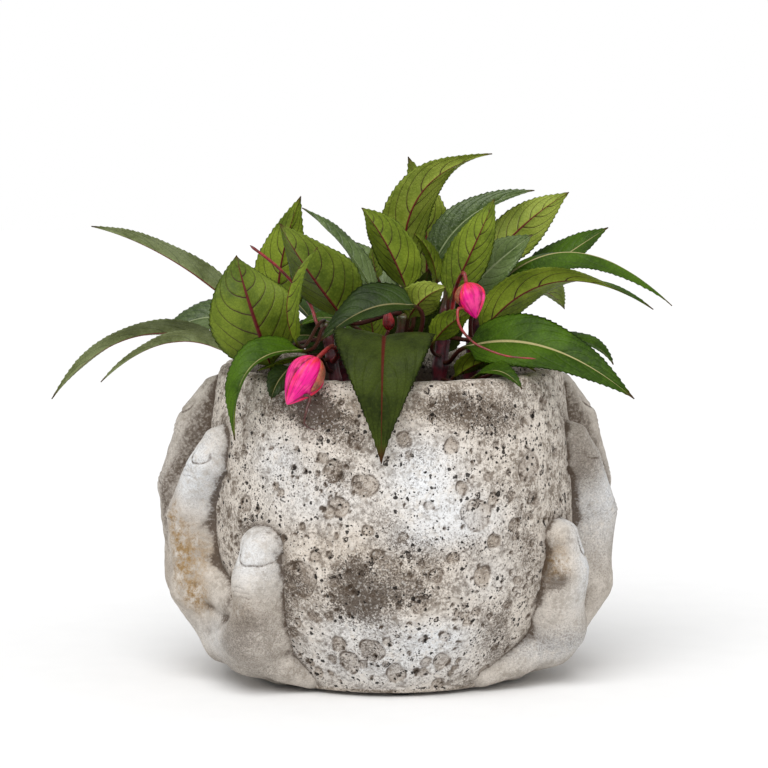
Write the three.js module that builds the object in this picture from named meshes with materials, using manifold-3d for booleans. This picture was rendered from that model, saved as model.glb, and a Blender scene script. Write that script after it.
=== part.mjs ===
// Potted impatiens: a leafy plant with closed pink buds in a cast cement planter.
// The planter is a cratered moon bowl held between two sculpted hands, all one casting.
// Millimetres, +Z up. The pot's axis is x = 0, y = 0 and the floor is z = 0 while the pieces are made.
// The finished group is then shifted so that the middle of its box stands on the origin.

import * as THREE from 'three';
import { mergeVertices } from 'three/addons/utils/BufferGeometryUtils.js';
import Module from 'manifold-3d';

const wasm = await Module();
wasm.setup();

// ---------------------------------------------------------------- driving dimensions

const touchGap = 0.3;            // clearance between pieces that touch

const padHeight = 2;             // felt pads lift the casting off the floor
const padRadius = 6.5;
const padSides = 20;
const padPlaces = [              // angle from +X and distance from the axis
  ['pad_front', -84, 52],
  ['pad_right', 20, 60],
  ['pad_back', 96, 52],
  ['pad_left', -160, 60],
];

const baseZ = padHeight;         // flat underside of the casting
const rimZ = 164;                // top of the rim
const rimRadius = 88;            // outside of the rim
const moonRadius = 95;           // widest radius of the bowl
const moonZ = 90;                // height of the widest radius
const baseRadius = 62;           // radius where the bowl meets its flat underside
const wall = 12;                 // wall thickness
const floorZ = 16;               // top of the bowl's floor
const floorRadius = 54;          // flat part of the bowl's floor
const rimRound = 4;              // rounding of the rim's two edges
const footRound = 2.5;           // rounding of the foot's edge

// Columns of the casting's surface, closer together over the hands: from and to in degrees
// from the front, positive towards +X, and how many.
const castZones = [
  [-28, 40, 9],                  // plain front
  [40, 174, 39],                 // right hand
  [174, 200, 4],                 // plain back
  [200, 332, 40],                // left hand
];
const castRows = 29;             // rows of its outer surface
const castSoften = 4;            // weight of a radius against the one above and the one below it
const steepest = 2;              // how fast the surface falls away beside a finger
const handOutermost = 34;        // no hand stands further out than this
const rayShare = 0.85;           // share of the free distance that each inward step takes
const raySteps = 60;
const closedAt = 0.01;           // the surface is found once the distance is under this

const moonBlend = 6;             // how softly a hand grows out of the bowl
const digitBlend = 3;            // crease between neighbouring fingers
const palmBlend = 8;             // how softly fingers grow out of the palm

// Each joint of a digit: angle back from the front, height, distance of its centre
// outside the bowl's surface, and radius. From the fingertip down.
const digits = {
  thumb: [[42, 82, 3, 10.5], [44, 62, 7, 12], [46, 45, 8, 11.5], [51, 31, 9, 13.5], [60, 20, 7, 13.5]],
  index: [[66, 130, 3, 9], [68, 118, 7, 10], [75, 101, 10, 9.5], [78, 86, 12, 11.5], [80, 50, 11, 14]],
  middle: [[93, 149, 1, 8.5], [94, 132, 9, 10.5], [95, 118, 11.5, 11], [97, 98, 16, 12], [100, 52, 14, 15]],
  ring: [[117, 146, 1, 8.5], [117, 130, 6, 9.5], [116, 116, 9, 10.5], [116, 98, 12, 11.5],
    [116, 52, 12, 14.5]],
  little: [[139, 124, 1, 7.5], [137, 110, 5, 8.5], [134, 88, 9, 10], [130, 50, 10, 13]],
};
const heel = [[60, 20, 7, 13.5], [78, 20, 10, 13.5], [95, 20, 11, 13.5], [110, 21, 9, 13.5], [122, 24, 8, 13]];
const underHeel = [[60, 9, -4, 10], [78, 9, -3, 10], [95, 9, -3, 10], [110, 9, -3, 10], [122, 10, -4, 10]];
const web = [[53, 45, 6, 10], [80, 60, 9, 12]];   // skin between the thumb and the index finger
const thumbSide = [[57, 34, 6, 12], [78, 40, 10, 12]];   // the palm under that skin
const between = [                // flesh between neighbouring fingers
  [[85, 106, 1, 9.5], [88, 50, 8, 13]],
  [[106, 114, 1, 9.5], [108, 50, 8, 13]],
  [[126, 102, 0, 9], [123, 50, 7, 12.5]],
];
// The right hand is set a little further back, and its thumb further still. The ball of the
// thumb runs under the bowl.
const hands = [
  { side: -1, turn: 0, thumbTurn: 0, ball: [[54, 26, 6, 12], [47, 15, 2, 10], [41, 9, -3, 7]] },
  { side: 1, turn: 12, thumbTurn: 9, ball: [[61, 26, 6, 12], [48, 16, 1, 10], [34, 9, -3, 7]] },
];

// Large round craters: angle from the front, positive towards +X, then height and radius.
const craterDepth = 1.4;
const craterSides = 10;
const craterTaper = 0.85;        // a crater's floor against its mouth
const craters = [
  [-18, 120, 5.6], [-8, 113, 6.6], [-16, 102, 5.6], [47, 118, 8], [27, 97, 8.6], [-29, 64, 10],
  [30, 65, 5.6], [-7, 27, 6.6], [180, 100, 9], [168, 62, 7], [196, 128, 6], [190, 40, 8],
];

const soilTop = 149;             // middle of the soil's surface
const soilEdge = 146;            // the soil at the wall
const soilGap = 0.4;
const moundShare = 0.5;          // how far out, and how much lower, the soil's mound begins to fall
const moundFall = 0.5;
const wallLevels = [soilEdge, 90, 35];   // where the inner wall's slope changes, and the soil's side with it
const soilSides = 30;

const stemSides = 8;
const stemSteps = 6;
const stemFoot = 130;            // the stems' lower ends, in the soil
const holeStations = [0.12, 0.24, 0.4];  // shares of a stem's line that its hole in the soil follows
// Each stem: foot, bend and top as x, y, z, and its radius.
const stems = {
  stem_left: { path: [[-24, -14, stemFoot], [-30, -14, 165], [-34, -12, 188]], radius: 3.2 },
  stem_centre: { path: [[2, -18, stemFoot], [4, -20, 165], [7, -16, 192]], radius: 3.6 },
  stem_right: { path: [[24, -12, stemFoot], [24, -12, 172], [32, -8, 206]], radius: 4 },
  stem_far_right: { path: [[38, 10, stemFoot], [42, 12, 168], [46, 12, 196]], radius: 3.6 },
  stem_back: { path: [[8, 20, stemFoot], [8, 20, 178], [9, 18, 214]], radius: 3.6 },
  stem_back_left: { path: [[-22, 16, stemFoot], [-26, 18, 168], [-28, 16, 196]], radius: 3.4 },
};

const bladeThick = 0.9;          // blade, measured along its upright
const stalkThick = 1.8;          // leaf stalk
const stalkHalf = 1.2;           // half the leaf stalk's width
const stalkSteps = 3;
const bladeSteps = 9;
const toothCut = 0.09;           // share of the width that the coarse teeth take
const outlineRise = 0.62;        // how quickly a blade widens from its foot
const outlineFall = 1.15;        // how quickly it narrows to its tip
const webShare = 0.6;            // share of the stalk's width that runs on into the blade
const tipHalf = 0.3;             // half the width left at a blade's tip

// Each leaf: the stem that bears it and how far up, then the foot, middle and tip of its
// blade, its width, the way its upper side faces at the foot and at the tip, and how far
// its two halves fold up, in degrees.
const leaves = {
  far_left_upper: ['stem_back_left', 0.7, [-72, 0, 187], [-114, 0, 219], [-155, -2, 236], 24,
    [0, 0.5, 0.85], [0, 0.5, 0.85], 20],
  far_left_lower: ['stem_back_left', 0.62, [-88, -6, 176], [-136, -14, 179], [-175, -20, 148], 20,
    [0, 0.5, 0.85], [0, 0.4, 0.9], 15],
  left_slim: ['stem_left', 0.8, [-84, -24, 173], [-116, -26, 178], [-149, -30, 158], 15,
    [0, 0.5, 0.85], [0, 0.3, 0.9], 15],
  left_back_grey: ['stem_back_left', 0.5, [-79, 28, 183], [-100, 28, 185], [-121, 28, 175], 22,
    [0, -0.6, 0.8], [0, -0.6, 0.8], 10],
  left_broad: ['stem_left', 0.6, [-61, -38, 166], [-72, -52, 201], [-79, -32, 223], 45,
    [-0.1, 1, 0.1], [-0.2, 1, 0.1], 10],
  left_upright_back: ['stem_back_left', 0.78, [-59, 17, 186], [-57, 20, 216], [-47, 20, 250], 28,
    [0.1, 1, 0], [0.1, 1, 0], 12],
  left_centre_broad: ['stem_centre', 1, [-23, -20, 189], [-41, -28, 213], [-57, -24, 239], 42,
    [0.5, 0.85, 0.3], [0.5, 0.85, 0.3], 22],
  left_narrow_front: ['stem_left', 1, [-48, -52, 181], [-51, -60, 207], [-37, -54, 229], 14,
    [1, 0.35, 0], [1, 0.35, 0], 30],
  glossy_left: ['stem_back', 0.7, [-8, -2, 199], [-24, 0, 225], [-46, 5, 245], 17,
    [0.7, -0.4, 0.6], [0.7, -0.4, 0.6], 20],
  centre_left_upright: ['stem_centre', 0.85, [9, -20, 204], [-3, -26, 230], [-15, -24, 247], 26,
    [0.45, 0.85, 0.2], [0.45, 0.85, 0.2], 20],
  top_arching: ['stem_back', 0.8, [8, 6, 202], [14, -4, 251], [52, -10, 274], 31,
    [-0.35, 0.93, 0], [0, 0.5, 0.87], 18],
  top_back: ['stem_back', 0.66, [18, 30, 200], [18, 34, 235], [9, 30, 270], 28,
    [0.2, 1, 0], [0.2, 1, 0], 15],
  centre_back_slim: ['stem_back', 0.82, [21, 16, 211], [41, 18, 239], [75, 20, 253], 20,
    [-0.3, -0.7, 0.7], [-0.3, -0.7, 0.7], 30],
  centre_right_upright: ['stem_right', 0.8, [30, -17, 200], [43, -20, 228], [53, -17, 251], 22,
    [-0.1, 1, 0.1], [-0.1, 1, 0.1], 12],
  upper_right: ['stem_far_right', 0.95, [52, 20, 216], [71, 20, 236], [93, 20, 252], 24,
    [-0.1, 0.9, -0.3], [-0.1, 0.9, -0.3], 15],
  right_grey: ['stem_far_right', 0.85, [39, 2, 201], [56, -3, 218], [73, -8, 232], 24,
    [-0.2, -0.9, 0.5], [-0.2, -0.9, 0.5], 10],
  right_back: ['stem_far_right', 0.75, [68, 24, 201], [91, 26, 218], [114, 28, 233], 24,
    [-0.2, -0.6, 0.8], [-0.2, -0.6, 0.8], 10],
  right_long_upper: ['stem_far_right', 0.6, [43, 2, 191], [90, -6, 223], [145, -16, 196], 28,
    [-0.1, -0.5, 0.87], [0.45, -0.2, 0.87], -25],
  right_long_lower: ['stem_right', 0.62, [45, -20, 181], [85, -30, 210], [134, -36, 196], 26,
    [-0.2, 0.9, 0.4], [0.3, -0.25, 0.92], 12],
  right_broad: ['stem_right', 0.45, [38, -32, 176], [79, -52, 178], [123, -62, 153], 31,
    [0.1, -0.9, 0.6], [0.1, -0.8, 0.7], 6],
  right_under: ['stem_far_right', 0.35, [77, 0, 177], [101, -6, 176], [115, -12, 165], 14,
    [0, -0.2, 1], [0, -0.2, 1], 15],
  front_drooping: ['stem_centre', 0.62, [-2, -35, 174], [-4, -88, 181], [-5, -101, 125], 50,
    [0, -0.3, 1], [0, -1, 0.1], 6],
  centre_folded: ['stem_centre', 0.6, [12, -42, 198], [-12, -48, 197], [-36, -50, 181], 28,
    [0, -0.5, 0.85], [0, -0.5, 0.85], 20],
  centre_small: ['stem_centre', 0.8, [9, -28, 191], [17, -38, 202], [28, -42, 208], 20,
    [0, 1, 0.3], [0, 1, 0.3], 12],
  young_upright: ['stem_back', 0.88, [24, 4, 208], [20, 2, 222], [12, 0, 232], 7,
    [0.3, 1, 0], [0.3, 1, 0], 20],
  right_dark_low: ['stem_right', 0.3, [33, -20, 160], [53, -34, 170], [74, -44, 165], 16,
    [0, 0.6, 0.8], [0, 0.6, 0.8], 12],
  front_right_small: ['stem_right', 0.34, [43, -50, 163], [55, -62, 167], [66, -70, 159], 12,
    [0.2, -0.6, 0.8], [0.2, -0.6, 0.8], 15],
  front_left_drooping: ['stem_left', 0.92, [-45, -50, 176], [-72, -68, 168], [-79, -70, 133], 22,
    [-0.2, -0.6, 0.7], [-0.9, -0.4, 0.2], 28],
  front_left_low: ['stem_left', 0.5, [-41, -42, 173], [-56, -52, 170], [-68, -58, 167], 12,
    [0, 0.2, 0.95], [0, 0.2, 0.95], 12],
  front_left_tip: ['stem_left', 0.35, [-51, -60, 169], [-57, -76, 163], [-60, -80, 155], 12,
    [0, -0.9, 0.4], [0, -1, 0.2], 10],
  left_inner: ['stem_centre', 0.7, [-20, 0, 184], [-34, 3, 188], [-47, 2, 184], 15,
    [0, -0.4, 0.9], [0, -0.4, 0.9], 10],
  right_inner: ['stem_right', 0.5, [22, -36, 180], [31, -42, 190], [43, -46, 197], 14,
    [0, 1, 0.4], [0, 1, 0.4], 12],
  back_grey: ['stem_back', 0.6, [-3, 34, 194], [-12, 46, 212], [-19, 56, 223], 22,
    [0, -0.3, 1], [0, -0.3, 1], 12],
  back_olive: ['stem_back', 0.8, [-7, 20, 207], [-9, 24, 215], [-10, 26, 223], 7,
    [0, 1, 0.2], [0, 1, 0.2], 20],
  centre_shaded: ['stem_back', 0.35, [-9, 8, 175], [-10, 8, 184], [-13, 8, 194], 14,
    [0, 1, 0.2], [0, 1, 0.2], 15],
  back_left: ['stem_back_left', 0.8, [-40, 40, 180], [-62, 68, 198], [-80, 92, 192], 28,
    [0, 0.3, 1], [0, 0.5, 0.9], 14],
  back_centre: ['stem_back', 0.72, [5, 48, 192], [4, 76, 210], [0, 104, 202], 30,
    [0, 0.3, 1], [0, 0.5, 0.9], 14],
  back_right: ['stem_far_right', 0.7, [58, 40, 184], [78, 66, 196], [94, 92, 184], 28,
    [0, 0.3, 1], [0, 0.5, 0.9], 14],
  back_drooping: ['stem_back', 0.3, [-14, 56, 168], [-18, 92, 177], [-20, 106, 140], 30,
    [0, 0.3, 1], [0, 1, 0.2], 8],
};

const budSides = 12;
const budRows = 9;
const budRidge = 0.09;
const budTwist = 2.4;
const budFull = 1.25;            // the factors and powers of a bud's outline
const budEarly = 0.7;
const budRounding = 0.8;
const budNarrowing = 0.42;
const spurRadius = 0.9;
const rootStraight = 4;          // how far a stalk runs on square to its stem
const stalkSides = 6;
// Each bud: top and tip of its petals, widest radius, the stem that bears it and how far up,
// the points of its stalk, and where and how the thin curved spur leaves its foot.
const buds = {
  bud_left: {
    top: [-37, -82, 176], tip: [-52, -95, 154], radius: 8.6, stem: 'stem_left', at: 0.6,
    stalk: [[-27, -42, 174], [-30, -66, 180]], stalkRadius: 1.2,
    spurAt: 0.72, spur: [[-42, -100, 152], [-43, -101, 145], [-38, -102, 142]],
  },
  bud_right: {
    top: [38, -51, 211], tip: [43, -54, 193], radius: 6.8, stem: 'stem_right', at: 0.7,
    stalk: [[33, -28, 205], [36.5, -47, 215.5]], stalkRadius: 1,
    spurAt: 0.66, spur: [[34.5, -60, 190], [41, -61, 182], [49, -63, 178], [59, -65, 175], [73, -68, 174]],
  },
  bud_small: {
    top: [-1, -25, 184], tip: [-2, -22, 195], radius: 2.8, stem: 'stem_centre', at: 0.35,
    stalk: [[-7, -21, 167], [-4, -24, 177]], stalkRadius: 0.9,
  },
};
const spentStalk = {
  stem: 'stem_left', at: 0.95, radius: 0.8, path: [[-43, -1, 197], [-58, -2, 214], [-73, -2, 226]],
};

const stone = { color: 0xc9c3b6, roughness: 0.9, metalness: 0 };
const peat = { color: 0x2b1d15, roughness: 1, metalness: 0 };
const felt = { color: 0x161616, roughness: 1, metalness: 0 };
const stemRed = { color: 0x4a1622, roughness: 0.5, metalness: 0 };
const leafGreen = { color: 0x55782b, roughness: 0.45, metalness: 0 };
const petalPink = { color: 0xe8237c, roughness: 0.4, metalness: 0 };
const spurRed = { color: 0xb32a3c, roughness: 0.4, metalness: 0 };

// ---------------------------------------------------------------- helpers

const radians = THREE.MathUtils.degToRad;

function vector(list) {
  return new THREE.Vector3(list[0], list[1], list[2]);
}

function indexed(geometry) {
  const bare = geometry.clone();
  bare.deleteAttribute('normal');
  bare.deleteAttribute('uv');
  return mergeVertices(bare, 1e-4);
}

function toSolid(geometry) {
  const merged = indexed(geometry);
  return new wasm.Manifold(new wasm.Mesh({
    numProp: 3,
    vertProperties: new Float32Array(merged.attributes.position.array),
    triVerts: new Uint32Array(merged.index.array),
  }));
}

function fromSolid(solid) {
  const mesh = solid.getMesh();
  const geometry = new THREE.BufferGeometry();
  geometry.setAttribute('position', new THREE.BufferAttribute(mesh.vertProperties, 3));
  geometry.setIndex(new THREE.BufferAttribute(mesh.triVerts, 1));
  return geometry;
}

const group = new THREE.Group();

function add(name, geometry, finish) {
  const mesh = new THREE.Mesh(geometry, new THREE.MeshStandardMaterial(finish));
  mesh.name = name;
  group.add(mesh);
  return mesh;
}

// A closed skin over rings of points. A ring of one point closes that end as a fan.
function skin(rings) {
  const points = [];
  const faces = [];
  const starts = [];
  for (const ring of rings) {
    starts.push(points.length / 3);
    for (const point of ring) points.push(point.x, point.y, point.z);
  }
  for (let row = 0; row + 1 < rings.length; row += 1) {
    const near = rings[row].length;
    const far = rings[row + 1].length;
    const sides = Math.max(near, far);
    for (let side = 0; side < sides; side += 1) {
      const next = (side + 1) % sides;
      const a = starts[row] + (near === 1 ? 0 : side);
      const b = starts[row] + (near === 1 ? 0 : next);
      const c = starts[row + 1] + (far === 1 ? 0 : next);
      const d = starts[row + 1] + (far === 1 ? 0 : side);
      if (near > 1) faces.push(a, b, c);
      if (far > 1) faces.push(a, c, d);
    }
  }
  const geometry = new THREE.BufferGeometry();
  geometry.setAttribute('position', new THREE.Float32BufferAttribute(points, 3));
  geometry.setIndex(faces);
  return geometry;
}

// A round rod along a curve: a circle's outline extruded along the path.
function rod(curve, radius, steps, sides) {
  const outline = new THREE.Shape();
  for (let side = 0; side < sides; side += 1) {
    const angle = (side / sides) * 2 * Math.PI;
    const point = [radius * Math.cos(angle), radius * Math.sin(angle)];
    if (side === 0) outline.moveTo(...point);
    else outline.lineTo(...point);
  }
  outline.closePath();
  return new THREE.ExtrudeGeometry(outline, { steps, extrudePath: curve, bevelEnabled: false });
}

// ---------------------------------------------------------------- planter

// Radius of the bowl at a height: two quarter ellipses that meet at its widest ring.
function moonProfile(z) {
  const upper = (rimZ - moonZ) / Math.sqrt(1 - (rimRadius / moonRadius) ** 2);
  const lower = (moonZ - baseZ) / Math.sqrt(1 - (baseRadius / moonRadius) ** 2);
  const reach = z > moonZ ? upper : lower;
  return moonRadius * Math.sqrt(Math.max(0, 1 - ((z - moonZ) / reach) ** 2));
}

// Smooth minimum: the smaller of two distances, rounded where they are alike.
function blend(a, b, width) {
  const near = Math.max(width - Math.abs(a - b), 0) / width;
  return Math.min(a, b) - near * near * width / 4;
}

// A joint's centre: out from the bowl's surface at its angle and height.
function jointPlace(hand, [angle, z, out]) {
  const turn = radians(angle + hand.turn);
  const reach = moonProfile(z) + out;
  return new THREE.Vector3(hand.side * reach * Math.sin(turn), -reach * Math.cos(turn), z);
}

function bones(hand, joints) {
  const list = [];
  for (let index = 0; index + 1 < joints.length; index += 1) {
    const from = jointPlace(hand, joints[index]);
    const to = jointPlace(hand, joints[index + 1]);
    const along = to.clone().sub(from);
    list.push({ from, along, length2: along.lengthSq(), r0: joints[index][3], r1: joints[index + 1][3] });
  }
  return list;
}

const skeletons = hands.map((hand) => {
  const thumb = digits.thumb.map(([angle, ...rest]) => [angle + hand.thumbTurn, ...rest]);
  const fingers = Object.values({ ...digits, thumb }).map((joints) => bones(hand, joints));
  const roots = ['index', 'middle', 'ring', 'little'].map((name) => digits[name].at(-1));
  const palm = [heel, underHeel, roots, web, thumbSide, hand.ball, ...between]
    .flatMap((joints) => bones(hand, joints));
  roots.forEach((root, index) => palm.push(...bones(hand, [root, heel[index + 1]])));
  palm.push(...bones(hand, [thumb[3], heel[1]]));
  return { fingers, palm };
});

// Distance to a rod with a round end of its own radius at each joint.
const probe = new THREE.Vector3();
function boneDistance(point, bone) {
  probe.subVectors(point, bone.from);
  const t = THREE.MathUtils.clamp(probe.dot(bone.along) / bone.length2, 0, 1);
  return probe.addScaledVector(bone.along, -t).length() - (bone.r0 + (bone.r1 - bone.r0) * t);
}

function nearestBone(point, list) {
  return Math.min(...list.map((bone) => boneDistance(point, bone)));
}

// Distance to the casting: bowl, palms and fingers, softly joined.
function castField(point) {
  const radius = Math.hypot(point.x, point.y);
  const slope = moonProfile(point.z + 0.5) - moonProfile(point.z - 0.5);
  let field = (radius - moonProfile(point.z)) / Math.hypot(1, slope);
  for (const { fingers, palm } of skeletons) {
    let hand = fingers.map((finger) => nearestBone(point, finger)).reduce((a, b) => blend(a, b, digitBlend));
    hand = blend(hand, nearestBone(point, palm), palmBlend);
    field = blend(field, hand, moonBlend);
  }
  return field;
}

// Outermost radius of the casting on a level ray: step inwards until the field closes.
function castRadius(angle, z) {
  const direction = new THREE.Vector3(Math.sin(angle), -Math.cos(angle), 0);
  let radius = moonProfile(z) + handOutermost;
  const place = new THREE.Vector3();
  for (let step = 0; step < raySteps; step += 1) {
    place.copy(direction).multiplyScalar(radius);
    place.z = z;
    const gap = castField(place);
    if (gap < closedAt) break;
    radius -= gap * rayShare;
  }
  return radius;
}

const castTurns = castZones.flatMap(([from, to, count]) => (
  Array.from({ length: count }, (_, step) => radians(from + (to - from) * (step / count)))
));

// The radii of a level with no flank steeper than the set slope.
function eased(ring) {
  return ring.map((radius, side) => Math.max(radius, ...[-1, 1].map((turn) => {
    const beside = (side + turn + ring.length) % ring.length;
    return ring[beside] - steepest * moonRadius * Math.abs(castTurns[beside] - castTurns[side]);
  })));
}

// The outer radii at these levels, each softened with those above and below it so that steep
// sides stay smooth.
function castGrid(levels) {
  const raw = levels.map((z) => eased(castTurns.map((angle) => castRadius(angle, z))));
  return raw.map((ring, row) => ring.map((radius, side) => {
    const below = raw[Math.max(row - 1, 0)][side];
    const above = raw[Math.min(row + 1, levels.length - 1)][side];
    return (below + castSoften * radius + above) / (castSoften + 2);
  }));
}

function ringOf(z, radiusAt) {
  return castTurns.map((angle, side) => {
    const radius = radiusAt(side);
    return new THREE.Vector3(radius * Math.sin(angle), -radius * Math.cos(angle), z);
  });
}

function innerRadius(z) {
  return moonProfile(z) - wall;
}

function planterGeometry() {
  const lowest = baseZ + footRound;
  const highest = rimZ - rimRound;
  const levels = [];
  for (let row = 0; row < castRows; row += 1) levels.push(lowest + (highest - lowest) * (row / castRows));
  const radii = castGrid(levels);
  const rings = [[new THREE.Vector3(0, 0, baseZ)], ringOf(baseZ, (side) => radii[0][side] - footRound)];
  levels.forEach((z, row) => rings.push(ringOf(z, (side) => radii[row][side])));
  rings.push(ringOf(highest, () => moonProfile(highest)));
  for (const turn of [35, 90]) {
    const lift = rimRound * Math.sin(radians(turn));
    const inward = rimRound * (1 - Math.cos(radians(turn)));
    rings.push(ringOf(highest + lift, () => moonProfile(highest) - inward));
  }
  for (const turn of [90, 35, 0]) {
    const lift = rimRound * Math.sin(radians(turn));
    const inward = rimRound * (1 - Math.cos(radians(turn)));
    rings.push(ringOf(highest + lift, () => innerRadius(highest) + inward));
  }
  for (const z of wallLevels) rings.push(ringOf(z, () => innerRadius(z)));
  rings.push(ringOf(floorZ, () => floorRadius));
  rings.push([new THREE.Vector3(0, 0, floorZ)]);
  return skin(rings);
}

// A crater is a shallow round sinking square to the bowl's surface.
function craterGeometry([angle, z, radius]) {
  const turn = radians(angle);
  const centre = new THREE.Vector3(Math.sin(turn), -Math.cos(turn), 0).multiplyScalar(moonProfile(z));
  centre.z = z;
  const rise = moonProfile(z - 1) - moonProfile(z + 1);
  const outward = new THREE.Vector3(2 * Math.sin(turn), -2 * Math.cos(turn), rise).normalize();
  const height = craterDepth * 5;
  const cutter = new THREE.CylinderGeometry(radius, radius * craterTaper, height, craterSides);
  cutter.translate(0, height / 2 - craterDepth, 0);
  cutter.applyQuaternion(new THREE.Quaternion().setFromUnitVectors(new THREE.Vector3(0, 1, 0), outward));
  cutter.translate(centre.x, centre.y, centre.z);
  return cutter;
}

let planter = toSolid(planterGeometry());
for (const crater of craters) planter = planter.subtract(toSolid(craterGeometry(crater)));
add('planter', fromSolid(planter), stone);

// ---------------------------------------------------------------- felt pads

for (const [name, angle, reach] of padPlaces) {
  const height = padHeight - touchGap;
  const pad = new THREE.CylinderGeometry(padRadius, padRadius, height, padSides);
  pad.rotateX(Math.PI / 2);
  pad.translate(reach * Math.cos(radians(angle)), reach * Math.sin(radians(angle)), height / 2);
  add(name, pad, felt);
}

// ---------------------------------------------------------------- stems

const stemCurves = {};
const stemSolids = {};
for (const [name, { path, radius }] of Object.entries(stems)) {
  const curve = new THREE.QuadraticBezierCurve3(...path.map(vector));
  stemCurves[name] = curve;
  stemSolids[name] = rod(curve, radius, stemSteps, stemSides);
  add(name, stemSolids[name], stemRed);
}

// ---------------------------------------------------------------- soil

function soilGeometry() {
  const profile = [new THREE.Vector2(0, floorZ + touchGap)];
  profile.push(new THREE.Vector2(floorRadius - soilGap, floorZ + touchGap));
  for (const z of wallLevels.toReversed()) profile.push(new THREE.Vector2(innerRadius(z) - soilGap, z));
  profile.push(new THREE.Vector2(innerRadius(soilEdge) * moundShare, soilTop - moundFall));
  profile.push(new THREE.Vector2(0, soilTop));
  const lathe = new THREE.LatheGeometry(profile, soilSides);
  lathe.rotateX(Math.PI / 2);
  return lathe;
}

// Each stem stands in a plain hole that is a gap wider than the stem.
function stemHole(name) {
  const { path, radius } = stems[name];
  const curve = stemCurves[name];
  const foot = vector(path[0]).add(new THREE.Vector3(0, 0, -touchGap));
  const points = [foot, ...holeStations.map((at) => curve.getPoint(at))];
  return rod(new THREE.CatmullRomCurve3(points), radius + 2 * touchGap, holeStations.length, stemSides);
}

let soil = toSolid(soilGeometry());
for (const name of Object.keys(stems)) soil = soil.subtract(toSolid(stemHole(name)));
add('soil', fromSolid(soil), peat);

// ---------------------------------------------------------------- leaves

// Half the blade's width, from 0 at its foot to a peak of 1 and down to 0 at its long tip.
function bladeOutline(v) {
  const peak = outlineRise / (outlineRise + outlineFall);
  const tallest = peak ** outlineRise * (1 - peak) ** outlineFall;
  return (v ** outlineRise) * ((1 - v) ** outlineFall) / tallest;
}

// The line of a leaf: its stalk leaves the stem square to it and runs on into the midrib.
function leafLine([stemName, at, foot, middle, tip]) {
  const stemPoint = stemCurves[stemName].getPoint(at);
  const base = vector(foot);
  const out = base.clone().sub(stemPoint).setZ(0).normalize();
  const root = stemPoint.clone().addScaledVector(out, stems[stemName].radius + touchGap);
  const bend = vector(middle).multiplyScalar(2).sub(base.clone().add(vector(tip)).multiplyScalar(0.5));
  const reach = root.distanceTo(base) / 3;
  const into = bend.clone().sub(base).normalize();
  const stalk = new THREE.CubicBezierCurve3(root, root.clone().addScaledVector(out, reach),
    base.clone().addScaledVector(into, -reach), base);
  const blade = new THREE.QuadraticBezierCurve3(base, bend, vector(tip));
  return { stalk, blade };
}

function leafStations(spec) {
  const { stalk, blade } = leafLine(spec);
  const upFoot = vector(spec[6]);
  const upTip = vector(spec[7]);
  const halfWidth = spec[5] / 2;
  const stations = [];
  for (let step = 0; step < stalkSteps; step += 1) {
    const t = step / stalkSteps;
    stations.push({ at: stalk.getPoint(t), along: stalk.getTangent(t), half: stalkHalf, thick: stalkThick });
  }
  for (let step = 0; step <= bladeSteps; step += 1) {
    const v = step / bladeSteps;
    const tooth = step % 2 === 1 ? 1 + toothCut : 1 - toothCut;
    const half = stalkHalf * (1 - v) * webShare + halfWidth * bladeOutline(v) * tooth + tipHalf;
    const thick = step === 0 ? stalkThick : bladeThick;
    const along = blade.getTangent(v);
    const up = upFoot.clone().lerp(upTip, v);
    up.addScaledVector(along, -up.dot(along)).normalize();
    stations.push({ at: blade.getPoint(v), along, half, thick, up });
  }
  for (let index = stalkSteps - 1; index >= 0; index -= 1) {
    const station = stations[index];
    const turn = new THREE.Quaternion().setFromUnitVectors(stations[index + 1].along, station.along);
    station.up = stations[index + 1].up.clone().applyQuaternion(turn);
  }
  return stations;
}

// A leaf is a ring of six points carried along its line: an edge, the rib and the other
// edge on the upper side, and the same three below, with the two halves folded up.
function leafGeometry(spec) {
  const fold = radians(spec[8]);
  const rings = leafStations(spec).map(({ at, along, half, thick, up }) => {
    const side = new THREE.Vector3().crossVectors(along, up).normalize();
    const corner = (sign, face) => at.clone()
      .addScaledVector(side, sign * half * Math.cos(fold))
      .addScaledVector(up, half * Math.sin(fold) + face * thick / 2);
    const rib = (face) => at.clone().addScaledVector(up, face * thick / 2);
    return [corner(1, -1), rib(-1), corner(-1, -1), corner(-1, 1), rib(1), corner(1, 1)];
  });
  const middleOf = (ring) => ring[1].clone().add(ring[4]).multiplyScalar(0.5);
  return skin([[middleOf(rings[0])], ...rings, [middleOf(rings.at(-1))]]);
}

for (const [name, spec] of Object.entries(leaves)) {
  add(`leaf_${name}`, leafGeometry(spec), leafGreen);
}

// ---------------------------------------------------------------- buds

// A bud is closed petals wound round its axis: three soft ridges that turn as they run down.
function budReach(radius, v, angle) {
  const ridge = 1 + budRidge * Math.cos(3 * angle - budTwist * v);
  const round = Math.sin(Math.PI * v ** budEarly) ** budRounding;
  return radius * budFull * round * (1 - budNarrowing * v) * ridge;
}

function budFrame({ top, tip }) {
  const from = vector(top);
  const along = vector(tip).sub(from);
  const upright = new THREE.Vector3(0, 0, 1);
  const turn = new THREE.Quaternion().setFromUnitVectors(upright, along.clone().normalize());
  return { from, along, turn };
}

function budPoint({ from, along, turn }, reach, v, angle) {
  const place = new THREE.Vector3(reach * Math.cos(angle), reach * Math.sin(angle), v * along.length());
  return place.applyQuaternion(turn).add(from);
}

function budGeometry(bud) {
  const frame = budFrame(bud);
  const rings = [[vector(bud.top)]];
  for (let row = 1; row < budRows; row += 1) {
    const v = row / budRows;
    const ring = [];
    for (let side = 0; side < budSides; side += 1) {
      const angle = (side / budSides) * 2 * Math.PI;
      ring.push(budPoint(frame, budReach(bud.radius, v, angle), v, angle));
    }
    rings.push(ring);
  }
  rings.push([vector(bud.tip)]);
  return skin(rings);
}

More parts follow.
